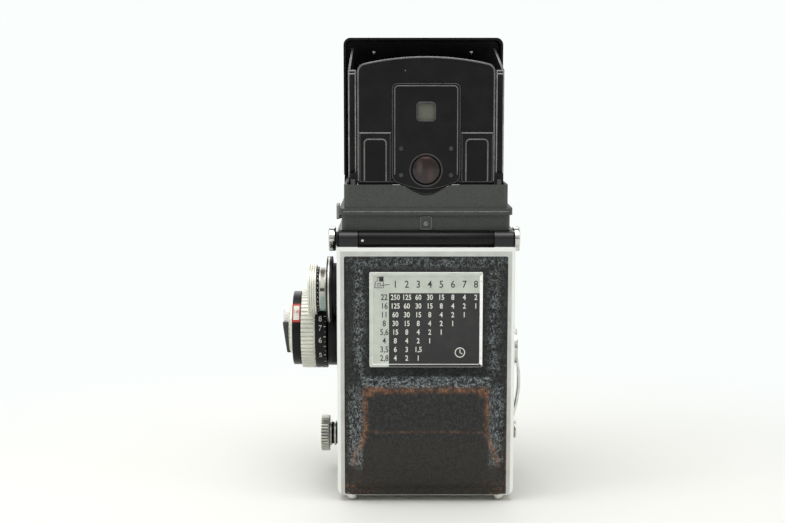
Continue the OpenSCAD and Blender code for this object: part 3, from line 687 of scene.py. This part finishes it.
def letters(name, node, rows, size, material, place, squeeze=1.0, lift=0.03,
            bold=0.0):
    """Numerals as one thin mesh. rows are (text, u, v); place maps (u, v) and height to a point in mm."""
    bm = bmesh.new()
    for text, u, v in rows:
        curve = bpy.data.curves.new(name + "_t", "FONT")
        curve.body = text
        curve.align_x = "CENTER"
        curve.align_y = "CENTER"
        curve.size = size
        curve.extrude = lift
        curve.offset = bold
        curve.resolution_u = 3
        start = len(bm.verts)
        add_curve(bm, curve)
        bm.verts.ensure_lookup_table()
        for vert in bm.verts[start:]:
            vert.co = Vector(place(u + vert.co.x * squeeze, v + vert.co.y, vert.co.z)) * MM
    bmesh.ops.recalc_face_normals(bm, faces=bm.faces)
    return finish_piece(name, bm, node, (), [material], smooth=40)


# ---------------------------------------------------------------- back

BACK_Y = 35.0  # rear face of the body, where the back's leather starts


def bulge_height(x, z, deep):
    """How far the back's bulge stands out at (x, z), with rounded edges."""
    ax = abs(x)
    bottom = deep * sqrt(max(0.0, 1 - ((33 - z) / 26) ** 2)) if z < 33 else deep
    walls = (deep, (57 - z) * deep / 3.4, (33 - ax) * 1.0, bottom)
    k = 0.42
    soft = -k * log(sum(exp(-min(h, 40) / k) for h in walls))
    return 0.5 * (soft + sqrt(soft * soft + 0.35))


def back_skin():
    lo, hi = span("back_leather")
    lo[0] -= 0.7
    lo[2] = span("back_cover")[0][2] - 0.02
    hi[2] += 0.4
    deep = hi[1] - BACK_Y
    nx, nz = 108, 160
    bm = bmesh.new()
    grid = []
    for j in range(nz + 1):
        z = lo[2] + (hi[2] - lo[2]) * j / nz
        row = []
        for i in range(nx + 1):
            x = lo[0] + (hi[0] - lo[0]) * i / nx
            edge = min(x - lo[0], hi[0] - x, hi[2] - z, z - lo[2])
            y = 35.02 + min(bulge_height(x, z, deep - 0.06), deep - 0.04)
            y -= 0.45 * (1 - min(1.0, edge / 0.8)) ** 2
            row.append(point(bm, x, y, z))
        grid.append(row)
    for row, above in zip(grid, grid[1:]):
        for i in range(nx):
            bm.faces.new((row[i], above[i], above[i + 1], row[i + 1]))
    rim = grid[0][:] + [r[-1] for r in grid[1:]] + grid[-1][-2::-1] + [r[0] for r in grid[-2:0:-1]]
    low = [bm.verts.new(Vector((v.co.x, 34.25 * MM, v.co.z))) for v in rim]
    bridge(bm, rim, low)
    bmesh.ops.recalc_face_normals(bm, faces=bm.faces)
    finish_piece("back_leather_skin", bm, "back_leather", ["back_leather"], [LEATHER_BACK], smooth=60)


def back_frame():
    def outer(p):
        return p.y > 34.9 and (abs(p.x) > 39.2 or p.z > 115.0) and p.z < 115.3

    def paint(p, n):
        return 2 if p.y < 34.3 and abs(p.x) < 36.3 and 5.3 < p.z < 114 else 0

    refine("back_cover", [COVER_METAL, ENAMEL_DEEP, MATT_BLACK], 1.35, 4, keep=outer, face_material=paint)


def table_marks(left, right, base, top, face):
    """A plain outline of a camera with a pointer, and a clock mark in place of the unit."""
    y = face + 0.05
    x0, z0 = left - 1.0, top - 6.2
    body = ((0, 0.6), (0.4, 3.2), (1.2, 3.6), (1.2, 5.2), (3.8, 5.6), (3.9, 0.6), (0, 0.6))
    lens = ((1.4, 2.6), (2.6, 2.6), (2.6, 1.4), (1.4, 1.4), (1.4, 2.6))
    pointer = ((2.9, 1.6), (6.6, 2.1))
    lines = [[(x0 - u, y, z0 + v) for u, v in line] for line in (body, lens, pointer)]
    tube("table_mark_outline", "back", lines, 0.14, BLACK_INK, 0.5, sides=6)
    block = [(x0 - u, z0 + v) for u, v in ((2.0, 3.4), (3.7, 3.4), (3.7, 5.4), (2.0, 5.2))]
    plate("table_mark_block", "exposure_table", block, face, face + 0.08, [BLACK_INK], bevel=0)
    cx, cz = right + 8.6, base + 5.2
    dial = [arc(cx, cz, 2.1, 0, 360, 36, y), [(cx, y, cz + 1.4), (cx, y, cz), (cx - 1.0, y, cz - 0.7)]]
    tube("table_mark_clock", "back", dial, 0.2, WHITE_INK, 0.5, sides=6)


def exposure_table():
    lo, hi = span("exposure_table")
    rim, column, rows = 1.3, 7.3, 8
    left, right, base, top = hi[0] - rim, lo[0] + rim, lo[2] + rim, hi[2] - rim
    head = top - 8.0
    enamel = table_enamel("table_enamel", left - column, head)

    def paint(p, n):
        return 1 if n.y > 0.9 and right < p.x < left and base < p.z < top else 0

    refine("exposure_table", [RIM_METAL, enamel], 0.22, 2, face_material=paint)
    face = hi[1] - 0.5

    def at(u, v, h):
        return (left - u, face + max(h, 0.0), v)

    pitch = (left - right - 6.8) / rows
    step = (head - base - 0.6) / rows
    columns = [column + pitch * 0.56 + pitch * c for c in range(rows)]
    rows_z = [head - step * (k + 0.5) for k in range(rows)]
    speeds = "250 125 60 30 15 8 4 2 1".split()
    cells = [speeds[k:k + rows] for k in range(6)] + [("6", "3", "1,5"), ("4", "2", "1")]
    white = [(text, u, z) for texts, z in zip(cells, rows_z) for text, u in zip(texts, columns)]
    letters("table_speeds", "exposure_table", white, 3.3, WHITE_INK, at, squeeze=0.84, bold=0.055)
    stops = [(t, 5.25, z) for t, z in zip("22 16 11 8 5,6 4 3,5 2,8".split(), rows_z)]
    letters("table_stops", "exposure_table", stops, 3.75, BLACK_INK, at, squeeze=0.84, bold=0.04)
    heads = [(str(c + 1), u, top - 4.2) for c, u in enumerate(columns)]
    letters("table_heads", "exposure_table", heads, 4.5, BLACK_INK, at, squeeze=0.9, bold=0.03)
    table_marks(left, right, base, top, face)


def back_parts():
    back_skin()
    back_frame()
    refine("back_floor", [FRAME_METAL], 0.3)
    exposure_table()
    refine_all((("table_screws", FRAME_METAL, 0), ("pressure_plate", STEEL, 0.15),
                ("pressure_spring", BLUED, 0.05), ("feet", CHROME, 0.5, 3),
                ("tripod_boss", CHROME, 0.35, 3), ("back_latch", SATIN, 0.5, 3)))


# ---------------------------------------------------------------- body


def body_parts():
    refine("body_shell", [MATT_BLACK, ENAMEL], 0.35, 2, keep=lambda p: abs(p.x) > 38.4,
           face_material=lambda p, n: 1 if abs(p.x) > 38.5 or p.z > 121 or p.y < -34.9 else 0)
    refine_all((("side_plate_focus", ENAMEL), ("side_plate_crank", ENAMEL),
                ("side_leathers", LEATHER, 0.35, 3), ("front_leather", LEATHER, 0.35, 3),
                ("front_plate", SATIN, 0.4, 3), ("light_cone", MATT_BLACK, 0),
                ("film_gate", STEEL, 0.1), ("roller_upper", STEEL), ("roller_lower", STEEL),
                ("mirror", MIRROR, 0), ("focusing_screen", GROUND, 0),
                ("strap_lugs", CHROME, 0.7, 4), ("back_hinge", ENAMEL_DEEP, 0.2),
                ("knob_flange", ENAMEL, 0.5, 3), ("crank_bezel", SATIN, 0.3, 3),
                ("counter_window", CHROME, 0.2), ("counter_dial", WHITE_INK, 0.1),
                ("sync_socket", CHROME, 0.3, 3)))
    screw("hinge_screw", "body", [(28.0, 34.55, 118.4)], 0.75, 0.35, CHROME)
    lugs = span("strap_lugs")[1][0]
    for s, side in ((-1, "crank"), (1, "focus")):
        cap = [(s * (lugs - 0.02), 3.0), (s * (lugs - 0.3), 3.5), (s * (lugs - 1.0), 3.6)]
        lathe("lug_cap_" + side, "strap_lugs", (0, -3, 115), "x", cap, [SATIN], steps=40)


# ---------------------------------------------------------------- lens board


def lens_parts():
    refine("lens_standard", [GREY_METAL, MATT_BLACK], 0.9, 4, keep=lambda p: p.y < -42.9,
           face_material=lambda p, n: 1 if p.y > -36.9 and abs(p.x) < 16.5 else 0)
    refine("shutter_housing", [ENAMEL, WORN], 0.5, 3)
    for node in ("taking_barrel", "viewing_barrel"):
        refine(node, [ENAMEL, WORN], 0.25, 2, edge_material=1)
    refine("lens_glass", [LENS], 0, smooth=50)
    refine_all((("iris_blades", BLUED, 0), ("aperture_wheel", CHROME, 0.2),
                ("speed_wheel", CHROME, 0.2), ("sync_lever", CHROME, 0.3, 3),
                ("release_button", CHROME, 0.35, 3), ("release_lock", SATIN)))
    for z, node in ((48, "taking_barrel"), (90, "viewing_barrel")):
        front = span(node)[0][1]
        steps = ((3.7, 14.1), (3.7, 12.4), (6.4, 11.0), (7.6, 11.0))
        lathe(node + "_inner_ring", node, (0, 0, z), "y",
              soft_corner([(front + a, r) for a, r in steps], 0.3), [ENAMEL_DEEP], steps=72)


# ---------------------------------------------------------------- knobs

DIAL_R = 18.75  # radius of the distance dial and of the focusing knob beside it


def band(lo, hi, r, n, lip=0.35):
    """Profile points of a ring between two stations with rounded lips."""
    out = [(lo, r - lip), (lo + lip * 0.3, r - lip * 0.3), (lo + lip, r)]
    out += [(lo + lip + (hi - lo - 2 * lip) * i / n, r) for i in range(1, n)]
    return out + [(hi - lip, r), (hi - lip * 0.3, r - lip * 0.3), (hi, r - lip)]


def distance_scale(cy, cz):
    """Numerals and ticks round the distance dial, and the red window on the knob."""

    def around(u, v, h):
        return (48.0 - u,) + polar(cy, cz, 18.72 + max(h, 0), v / DIAL_R)

    marks = "3,5 4 5 6 7 8 10 12 15 20 30 60".split()
    turns = [radians(113.6 - 733 / float(d.replace(",", "."))) for d in marks]
    letters("distance_numbers", "focus", [(d, 0.0, DIAL_R * t) for d, t in zip(marks, turns)], 3.7,
            WHITE_INK, around, squeeze=0.9, lift=0.06)
    bm = bmesh.new()
    for k in range(30):
        t = radians(-104 + 7.2 * k)
        half, wide = (0.10, 0.45) if k % 2 else (0.16, 0.9)
        corners = ((45.5, -half), (45.5 + wide, -half), (45.5 + wide, half), (45.5, half))
        bm.faces.new([point(bm, x, *polar(cy, cz, 18.8, t + dt / DIAL_R)) for x, dt in corners])
    finish_piece("distance_ticks", bm, "focus", (), [WHITE_INK])

    def patch(name, x0, x1, a0, a1, r, material):
        made = bmesh.new()
        n = 14
        cols = []
        for i in range(n + 1):
            a = radians(a0 + (a1 - a0) * i / n)
            section = ((x0, r - 0.3), (x0, r), (x1, r), (x1, r - 0.3))
            cols.append([point(made, x, *polar(cy, cz, rr, a)) for x, rr in section])
        for p, q in zip(cols, cols[1:]):
            bridge(made, p, q, closed=False)
        made.faces.new(cols[0])
        made.faces.new(cols[-1])
        bmesh.ops.recalc_face_normals(made, faces=made.faces)
        finish_piece(name, made, "focus", (), [material])

    patch("speed_window_frame", 57.3, 60.9, 18, 49, 17.42, RED_INK)
    patch("speed_window_pane", 57.8, 60.4, 21.5, 45, 17.5, WHITE_INK)
    letters("speed_window_number", "focus", [("18", 0.0, DIAL_R * radians(33))], 2.6, RED_INK,
            lambda u, v, h: around(u - 11.1, v, h - 1.14 if h > 0 else -1.2))


def setting_dial(cy, cz):
    """Film speed dial on the knob's end, with its dome and dark lever."""
    disc = [(62.5, 4.0)] + band(62.5, 63.0, 11.2, 2, 0.15) + [(63.0, 0.01)]
    lathe("setting_dial_turned", "film_speed_dial", (0, cy, cz), "x", disc, [IVORY_METAL],
          ["film_speed_dial"], steps=240, teeth=[(62.55, 62.9, 36, 0.4)])
    dome = [(62.9, 4.1), (64.4, 4.05), (65.4, 3.6), (66.0, 2.6), (66.3, 1.3), (66.35, 0.01)]
    lathe("setting_dome", "film_speed_dial", (0, cy, cz + 5.9), "x", dome,
          [ink("dome_print", (236, 232, 228), 0.22)], steps=72)
    bm = bmesh.new()
    wedge = ((-3.6, 2.9), (3.6, 2.9), (4.0, 0), (3.4, -6), (2.2, -11.6), (-2.2, -11.6), (-3.4, -6), (-4.0, 0))
    rings = []
    for side, k, long in ((0, 1.0, 1.0), (1, 1.0, 1.0), (2, 0.85, 0.98)):
        ring = []
        for u, v in wedge:
            reach = 62.9 if side == 0 else 66.1 - 0.13 * (2.9 - v) + 0.35 * (side - 1)
            ring.append(point(bm, reach, cy + u * k, cz + v * long))
        rings.append(ring)
    for p, q in zip(rings, rings[1:]):
        bridge(bm, p, q)
    bm.faces.new(rings[0])
    bm.faces.new(rings[-1])
    bmesh.ops.recalc_face_normals(bm, faces=bm.faces)
    round_edges(bm, [e for e in bm.edges if e.calc_face_angle(0) > 0.5], 0.35)
    finish_piece("setting_lever", bm, "film_speed_dial", (), [black_enamel("lever_enamel", 66, 0.42)])


def focus_parts():
    cy, cz = mid("focus_knob")[1:]
    dial_end, knob_end, rim_end, hub_end = 50.3, 57.0, 61.1, 62.4
    profile = [(dial_end, 6.0)] + band(50.35, knob_end, DIAL_R, 8, 0.45)
    profile += band(57.05, rim_end, 17.3, 6, 0.4) + band(61.12, hub_end, 12.2, 3, 0.25) + [(hub_end, 4.0)]

    def pick(a, r):
        return 0 if a < knob_end else (1 if a < rim_end else 2)

    lathe("focus_knob_turned", "focus_knob", (0, cy, cz), "x", profile, [IVORY_METAL, ENAMEL, IVORY_METAL],
          ["focus_knob"], steps=720, teeth=[(50.75, 56.6, 60, 0.62)], pick=pick)
    dial = [(45.0, 12.4), (45.0, 17.9)] + band(45.0, dial_end, DIAL_R, 5, 0.3) + [(dial_end, 6.0)]
    lathe("distance_dial_turned", "distance_dial", (0, cy, cz), "x", dial, [ENAMEL], ["distance_dial"],
          steps=160)
    distance_scale(cy, cz)
    refine("focus_shaft", [STEEL], 0)
    setting_dial(cy, cz)


def meter_glass(height):
    """Pale greenish glass of the window in the upper knob: greenish teal low down, and above that painted
    reflections, pale with a dark band just above the middle and darker towards the top edge.
    """
    s = Shader("meter_glass")
    z = s.sub(s.mm(2), height)
    tone = s.mix(s.remap(z, -1.2, -2.4), rgb(206, 204, 192), rgb(158, 186, 178))
    # painted reflections: a dark band just above the middle and darker towards the top
    tone = s.mix(s.mul(s.remap(z, 0.2, 0.8), s.remap(z, 2.4, 1.6)), tone, rgb(70, 66, 60))
    tone = s.mix(s.remap(z, 5.8, 7.4), tone, rgb(84, 78, 66))
    s.set(Base_Color=tone, Roughness=s.remap(s.noise(3, 3), 0.3, 0.7, 0.12, 0.2), Specular_IOR_Level=0.5)
    return s.material


def spool_knobs():
    _, ly, lz = mid("supply_knob")
    _, uy, uz = mid("take_up_knob")
    low = [(44.9, 3.0)] + band(44.9, 48.9, 8.6, 5, 0.45) + [(48.9, 6.6), (48.4, 6.2), (48.4, 0.01)]
    lathe("lower_knob_turned", "supply_knob", (0, ly, lz), "x", low, [SATIN], ["supply_knob"], steps=432,
          teeth=[(45.3, 48.5, 36, 0.85)])
    hub = [(26.0, 0.01), (26.0, 2.0), (26.4, 2.4), (31.6, 2.4), (31.6, 4.5), (40.5, 4.5), (40.5, 5.9),
           (40.9, 6.0), (40.9, 5.2), (41.9, 5.2), (41.9, 6.0), (42.8, 6.0), (42.8, 5.2), (44.0, 5.2),
           (44.0, 6.0), (44.9, 6.0)]
    lathe("lower_knob_hub", "supply_knob", (0, ly, lz), "x", hub, [SATIN, MATT_BLACK],
          pick=lambda a, r: 1 if r < 5.7 and 40.8 < a < 44.1 else 0)
    upper = [(27.0, 0.01), (27.0, 2.0), (27.3, 2.4), (33.0, 2.4), (33.0, 4.5), (44.4, 4.5)]
    upper += band(44.4, 47.8, 9.8, 4, 0.3) + band(47.8, 48.9, 10.3, 2, 0.1)
    for k in range(4):
        a = 48.95 + k * 0.97
        upper += [(a, 10.9), (a + 0.12, 11.36), (a + 0.82, 11.36), (a + 0.94, 10.9)]
    upper += [(52.9, 8.6), (52.5, 8.2), (52.5, 0.01)]
    lathe("upper_knob_turned", "take_up_knob", (0, uy, uz), "x", upper, [SATIN, ENAMEL, IVORY_METAL],
          ["take_up_knob"], steps=192, pick=lambda a, r: 1 if 47.8 < a < 48.9 else (2 if a > 48.9 else 0))
    bm = bmesh.new()
    dots, ring_r, dot_r = 30, 10.34, 0.22
    for k in range(dots):
        t = 2 * pi * k / dots
        corners = [2 * pi * j / 6 for j in range(6)]
        bm.faces.new([point(bm, 48.35 + dot_r * cos(w), *polar(uy, uz, ring_r, t + dot_r * sin(w) / ring_r))
                      for w in corners])
    finish_piece("upper_knob_dots", bm, "upper_knob", (), [WHITE_INK])
    lathe("upper_flange_ring", "knob_flange", (0, uy, uz), "x",
          [(43.0, 14.9), (43.0, 15.03), (43.6, 15.03), (43.6, 14.9)], [SATIN])
    lathe("meter_glass_band", "upper_knob", (0, uy, uz), "x",
          [(45.2, 9.75), (45.2, 9.86), (47.2, 9.86), (47.2, 9.75)], [meter_glass(uz)])


# ---------------------------------------------------------------- hood

SIDES = ((-1, "left"), (1, "right"))
EYE_R = 6.65  # hole for the eyepiece


def arch_outline(w, z0, top, corner=3.6):
    """Outline of the back panel: straight sides, small shoulders and an arched top."""
    drop = 2.95
    shoulder = top - drop - corner
    out = [(-w, z0), (w, z0)]
    out += [polar(w - corner, shoulder, corner, radians(a)) for a in range(0, 81, 10)]
    out += [((w - corner + 0.6) * (1 - i / 10), top - drop * (1 - i / 10) ** 2) for i in range(1, 20)]
    return out + [polar(-w + corner, shoulder, corner, radians(a)) for a in range(100, 181, 10)]


def circle(cx, cz, r, n=48):
    return [polar(cx, cz, r, 2 * pi * i / n) for i in range(n)]


def tongue_outline(half, foot, drop, top, corner=2.4):
    """Outline of a plate whose foot dips in a shallow bow under the eyepiece."""
    r = 4.0
    reach = half - r
    out = [(x, z) for x, z in rounded(-half, half, foot, top, corner) if z > foot + corner + 0.1]
    out += [(-half + r - r * cos(radians(a)), foot + r - r * sin(radians(a))) for a in range(0, 91, 15)]
    out += [(x, foot - drop * (1 - (x / reach) ** 2)) for x in (reach * (i / 10 - 1) for i in range(1, 20))]
    out += [(half - r + r * cos(radians(a)), foot + r - r * sin(radians(a))) for a in range(90, -1, -15)]
    return out


def hood_pockets(edge_highlight):
    """A thin pocket plate with a sunk channel on each side of the eyepiece."""
    y = 28.42
    for s, tag in SIDES:
        x0, x1 = sorted((s * 15.7, s * 29.3))
        # the pocket plate's bevels carry the painted edge highlight
        plate("hood_pocket_" + tag, "hood_back", rounded(x0, x1, 143.6, 165.4, 0.8), 27.98, 28.4,
              [ENAMEL, edge_highlight], bevel=0.34, edge=1)
        x0, x1 = sorted((s * 17.6, s * 27.2))
        channel = [(x1, y, 143.9), (x1, y, 155), (x1, y, 160.4)] + arc(x1 - 1.7, 160.6, 1.7, 8, 90, 6, y)
        channel += arc(x0 + 1.7, 160.6, 1.7, 90, 172, 6, y) + [(x0, y, 160.4), (x0, y, 155), (x0, y, 143.9)]
        # a bead round the channel in the painted edge highlight
        tube("hood_channel_" + tag, "rear_panel", [channel], 0.32, edge_highlight, 0.8)
        line = [(s * x, y, 165.1) for x in (15.6, 20, 25, 29.4)]
        # a painted highlight line along the pocket's top edge
        tube("hood_pocket_line_" + tag, "rear_panel", [line], 0.3, painted_edge_highlight("pocket_painted_highlight_" + tag, 128), 0.6)
        plate("hood_channel_well_" + tag, "hood_back", rounded(x0 + 0.5, x1 - 0.5, 143.9, 161.8, 1.3), 28.3,
              28.5, [ENAMEL_DEEP], bevel=0.08)


def hood_eyepiece(height):
    # two thin bands of the ring are painted paler: painted highlights
    ring = [(27.6, 6.5), (28.9, 6.6), (29.02, 6.8), (29.05, 7.0), (28.95, 7.35), (28.7, 7.45), (27.6, 7.45)]
    lathe("eyepiece_ring", "eyepiece_lens", (0, 0, height), "y", ring, [ENAMEL, painted_edge_highlight("eyepiece_ring_painted_highlight", 70)],
          steps=72, pick=lambda a, r: 1 if 6.85 < r < 7.05 or 7.1 < r < 7.25 else 0)
    lens = [(27.2, 0.01), (27.2, 6.5), (27.9, 6.55)]
    lens += [(28.75 - 0.35 * (r / 6.55) ** 2, r) for r in (5.6, 4.6, 3.4, 2.0, 0.01)]
    lathe("eyepiece_glass_turned", "eyepiece_lens", (0, 0, height), "y", lens, [EYE_LENS],
          ["eyepiece_lens"], steps=64, smooth=50)


def hood_back_panel():
    _, hi = span("hood_back")
    w, top, eye_z, peep_z = hi[0] - 0.05, hi[2], mid("eyepiece_lens")[2], mid("peep_window")[2]
    holes = (circle(0, eye_z, EYE_R), square(3.6, peep_z, 1.2))
    # paler painted highlight for the panels' rounded edges and beads
    edge_highlight = painted_edge_highlight("panel_edge_painted_highlight", 112)
    sheet = arch_outline(w, 142.7, top)
    # the foot dips in one soft wave under the eyepiece
    waves = [i / 10 - 1 for i in range(21)]
    sheet[1:1] = [(14.2 * u, 142.7 - 4.4 * (0.5 + 0.5 * cos(pi * u))) for u in waves]
    plate("hood_back_sheet", "hood_back", sheet, 27.12, 27.95, [ENAMEL, edge_highlight], ["hood_back"],
          bevel=0.34, holes=holes, edge=1)
    plate("hood_centre_plate", "hood_back", tongue_outline(15, 142.85, 2.4, 186.8), 27.98, 28.75,
          [ENAMEL, edge_highlight], bevel=0.42, holes=holes, edge=1)
    y, inset = 28.1, 0.35
    arch = [(x, y, z) for x, z in arch_outline(w - inset, 143.0, top - 0.4)[2:]]
    rim = [(w - inset, y, 144.0), (w - inset, y, 170)] + arch + [(-w + inset, y, 170), (-w + inset, y, 144.0)]
    # bead round the panel in the painted edge highlight
    tube("hood_panel_bead", "rear_panel", [rim], 0.36, edge_highlight, 0.8)
    hood_pockets(edge_highlight)
    y = 28.74
    inner = [(x, y, z) for x, z in rounded(-13.8, 13.8, 146.8, 185.7, 1.6) if z > 150]
    inner = [(13.8, y, 146.8)] + inner + [(-13.8, y, 146.8)]
    # bead round the centre plate in the painted edge highlight
    tube("hood_centre_bead", "rear_panel", [inner], 0.22, edge_highlight, 0.6)
    window = [(x, 28.78, z) for x, z in square(3.95, peep_z, 1.4)]
    # frame round the peep window in a painted edge highlight
    tube("peep_frame", "rear_panel", [window], 0.42, painted_edge_highlight("peep_edge_painted_highlight", 70), 0.6, closed=True)
    plate("peep_pane", "peep_window", square(3.57, peep_z, 1.1), 27.4, 27.9, [OLIVE], ["peep_window"],
          bevel=0.1)
    hood_eyepiece(eye_z)
    low, high = span("hood_rivets")
    bm = bmesh.new()
    for x in (-11, 11):
        for z in (low[2] + 0.9, high[2] - 0.9):
            disc_head(bm, x, 28.72, z, 0.95, 0.25)
    # rivet heads coloured with a painted highlight
    finish_piece("hood_rivet_heads", bm, "hood_rivets", ["hood_rivets"], [painted_edge_highlight("rivet_painted_highlight", 62)])
    # a small dot in the painted edge highlight
    screw("hood_top_dot", "rear_panel", [(9.2, 27.92, top - 6.2)], 0.3, 0.12, edge_highlight)
    for s, tag in SIDES:
        pin = [(s * 7.4, 0.01), (s * 7.4, 0.88), (s * 29.9, 0.88), (s * 30.15, 0.7), (s * 30.15, 0.01)]
        lathe("hood_back_pin_" + tag, "hood_back", (0, 27.55, 143.2), "x", pin, [ENAMEL], steps=24)


def hood_sides():
    # painted highlight on the side panels' rounded edges and along their beads
    line = painted_edge_highlight("side_panel_painted_highlight", 150)
    top = 192.25
    for s, tag in SIDES[::-1]:
        node, body = "hood_side_" + tag, "side_" + tag
        refine(node, [ENAMEL, line], 0.3, 2, edge_material=1)
        lo, hi = span(node)
        y = hi[1] + 0.02
        edges = [[(s * x, y, z) for z in (lo[2] + 7.2, 170, top)] for x in (34.0, 31.1)]
        edges += [[(s * 34.0, y, top - d), (s * 32.5, y, top - e), (s * 31.0, y, top - d)]
                  for d, e in ((0, -0.05), (1.4, 1.3))]
        tube("side_bead_" + body, body, edges, 0.3, line, 0.5)


def hood_front():
    refine("hood_lid", [ENAMEL_DEEP, WORN_SOFT], 0.32, 3, edge_material=1)
    refine("finder_flap", [ENAMEL, WORN_SOFT], 0.2, 2, edge_material=1)
    refine("magnifier", [ENAMEL, CLEAR], 0.2, 2,
           face_material=lambda p, n: 1 if hypot(p.x, p.z - 166) < 1 else 0)
    top = span("hood_lid")[1][2]
    for s, tag in SIDES:
        x0, x1 = sorted((s * 13.5, s * 30.5))
        low, high = top - 0.75, top - 0.32
        ridge = [(x, -37.5, z) for x, z in ((x0, low), (x0 + 1.4, high), (x1 - 1.4, high), (x1, low))]
        tube("lid_ridge_" + tag, "lid", [ridge], 0.3, ENAMEL, 6.0)
    screw("lid_rivets", "lid", [(s * 24.0, -44.42, 202.4) for s in (-1, 1)], 0.85, 0.5, CHROME)


def hood_parts():
    refine_all((("hood_base", CRINKLE, 0.5, 3), ("hood_catch", GREY_METAL, 0.3, 3)))
    for s, tag in SIDES:
        x0, x1 = sorted((s * 30.3, s * 33.4))
        plate("hood_ear_" + tag, "hood_base", rounded(x0, x1, 139.5, 147.6, 0.5), 27.0, 28.5, [ENAMEL],
              bevel=0.15)
    # a painted highlight line round the patch
    patch = [(x, 30.5, z) for x, z in rounded(-2.5, 2.5, 122.7, 128.3, 0.9)]
    tube("hood_patch_edge", "body", [patch], 0.16, painted_edge_highlight("patch_edge_painted_highlight", 116), 0.7, closed=True,
         sides=8)
    # a painted highlight line along the bead
    bead = [(x, 31.02, 130.5) for x in (-36.6, -12, 12, 36.6)]
    tube("hood_bead_line", "body", [bead], 0.3, painted_edge_highlight("bead_edge_painted_highlight", 100), 0.5, sides=8)
    screw("hood_patch_screw", "body", [(0, 30.45, 125.2)], 1.05, 0.3, WORN)
    hood_back_panel()
    hood_sides()
    hood_front()


# ---------------------------------------------------------------- stage

BACKDROP = rgb(250, 254, 253)


def pale_floor():
    """A floor that runs into the pale backdrop far from the camera."""
    s = Shader("pale_floor")
    s.set(Base_Color=s.mix(s.noise(300, 3), rgb(216, 216, 210), rgb(221, 221, 216)), Roughness=0.6,
          Specular_IOR_Level=0.2)
    reach = s.math("SQRT", s.add(s.math("POWER", s.mul(s.axis(0), 0.8), 2.0), s.math("POWER", s.axis(1), 2.0)))
    glow = s.node("Emission", {0: BACKDROP})
    blend = s.node("MixShader", {0: s.remap(reach, 0.05, 0.34), 1: s.bsdf.outputs[0], 2: glow.outputs[0]})
    put(s.tree, s.out.inputs[0], blend.outputs[0])
    return s.material


def studio_world():
    """Pale room whose walls are greyer than its ceiling, with darker gaps that the chrome can show."""
    world = bpy.data.worlds.new("studio")
    world.use_nodes = True
    tree = world.node_tree
    tree.nodes.clear()

    def node(kind, inputs, **settings):
        return add_node(tree, kind, inputs, **settings).outputs

    room = node("TexCoord", {})["Generated"]
    spot = node("SeparateXYZ", {0: room})
    up = node("MapRange", {0: spot[2], 1: -0.15, 2: 0.75, 3: 0.42, 4: 1.05})[0]
    near = node("MapRange", {0: spot[1], 1: 0.2, 2: 0.95, 3: 1.0, 4: 0.92})[0]
    gap = node("TexNoise", {0: room, 2: 2.4, 3: 1.0})[0]
    dim = node("MapRange", {0: gap, 1: 0.38, 2: 0.6, 3: 0.55, 4: 1.0})[0]
    level = node("Math", {0: up, 1: near}, operation="MULTIPLY")[0]
    level = node("Math", {0: level, 1: dim}, operation="MULTIPLY")[0]
    light = node("Background", {0: (1.0, 1.0, 1.0, 1.0), 1: level})[0]
    show = node("Background", {0: BACKDROP, 1: 1.0})[0]
    seen = node("LightPath", {})["Is Camera Ray"]
    node("OutputWorld", {0: node("MixShader", {0: seen, 1: light, 2: show})[0]})
    bpy.context.scene.world = world


def softbox(name, place, size, power):
    """Rectangular lamp aimed at the middle of the camera."""
    data = bpy.data.lights.new(name, "AREA")
    data.shape = "RECTANGLE"
    data.size, data.size_y = size
    data.energy = power
    lamp = link(name, data)
    lamp.location = place
    lamp.rotation_euler = (Vector((0, 0, 0.1)) - Vector(place)).to_track_quat("-Z", "Y").to_euler()


def stage():
    bm = bmesh.new()
    size = 6.0
    bm.faces.new([bm.verts.new((x * size, y * size, 0)) for x, y in ((-1, -1), (1, -1), (1, 1), (-1, 1))])
    floor = new_object("floor", bm)
    floor.data.materials.append(pale_floor())
    studio_world()
    softbox("top_box", (0.1, 0.25, 1.0), (0.9, 0.7), 6.0)
    softbox("left_box", (0.9, 0.35, 0.5), (0.4, 0.8), 2.2)
    softbox("right_box", (-0.9, 0.35, 0.55), (0.4, 0.8), 1.9)
    softbox("front_box", (0.2, -1.0, 0.6), (0.8, 0.8), 3.0)
    scene = bpy.context.scene
    scene.view_settings.view_transform = "Standard"
    scene.view_settings.look = "None"
    cam = bpy.data.cameras.new("camera")
    cam.sensor_width = 36.0
    cam.lens = 61.45
    cam.clip_start = 0.05
    eye = link("camera", cam)
    eye.location = (0.0148, 0.6203, 0.1829)
    eye.rotation_euler = (radians(82.8), 0.0, pi)
    scene.camera = eye


back_parts()
body_parts()
lens_parts()
focus_parts()
spool_knobs()
refine_all((("wind_crank", CHROME, 0.3, 3), ("crank_handle", CHROME, 0.5, 3), ("take_up_spool", ENAMEL, 0.1)))
hood_parts()
stage()
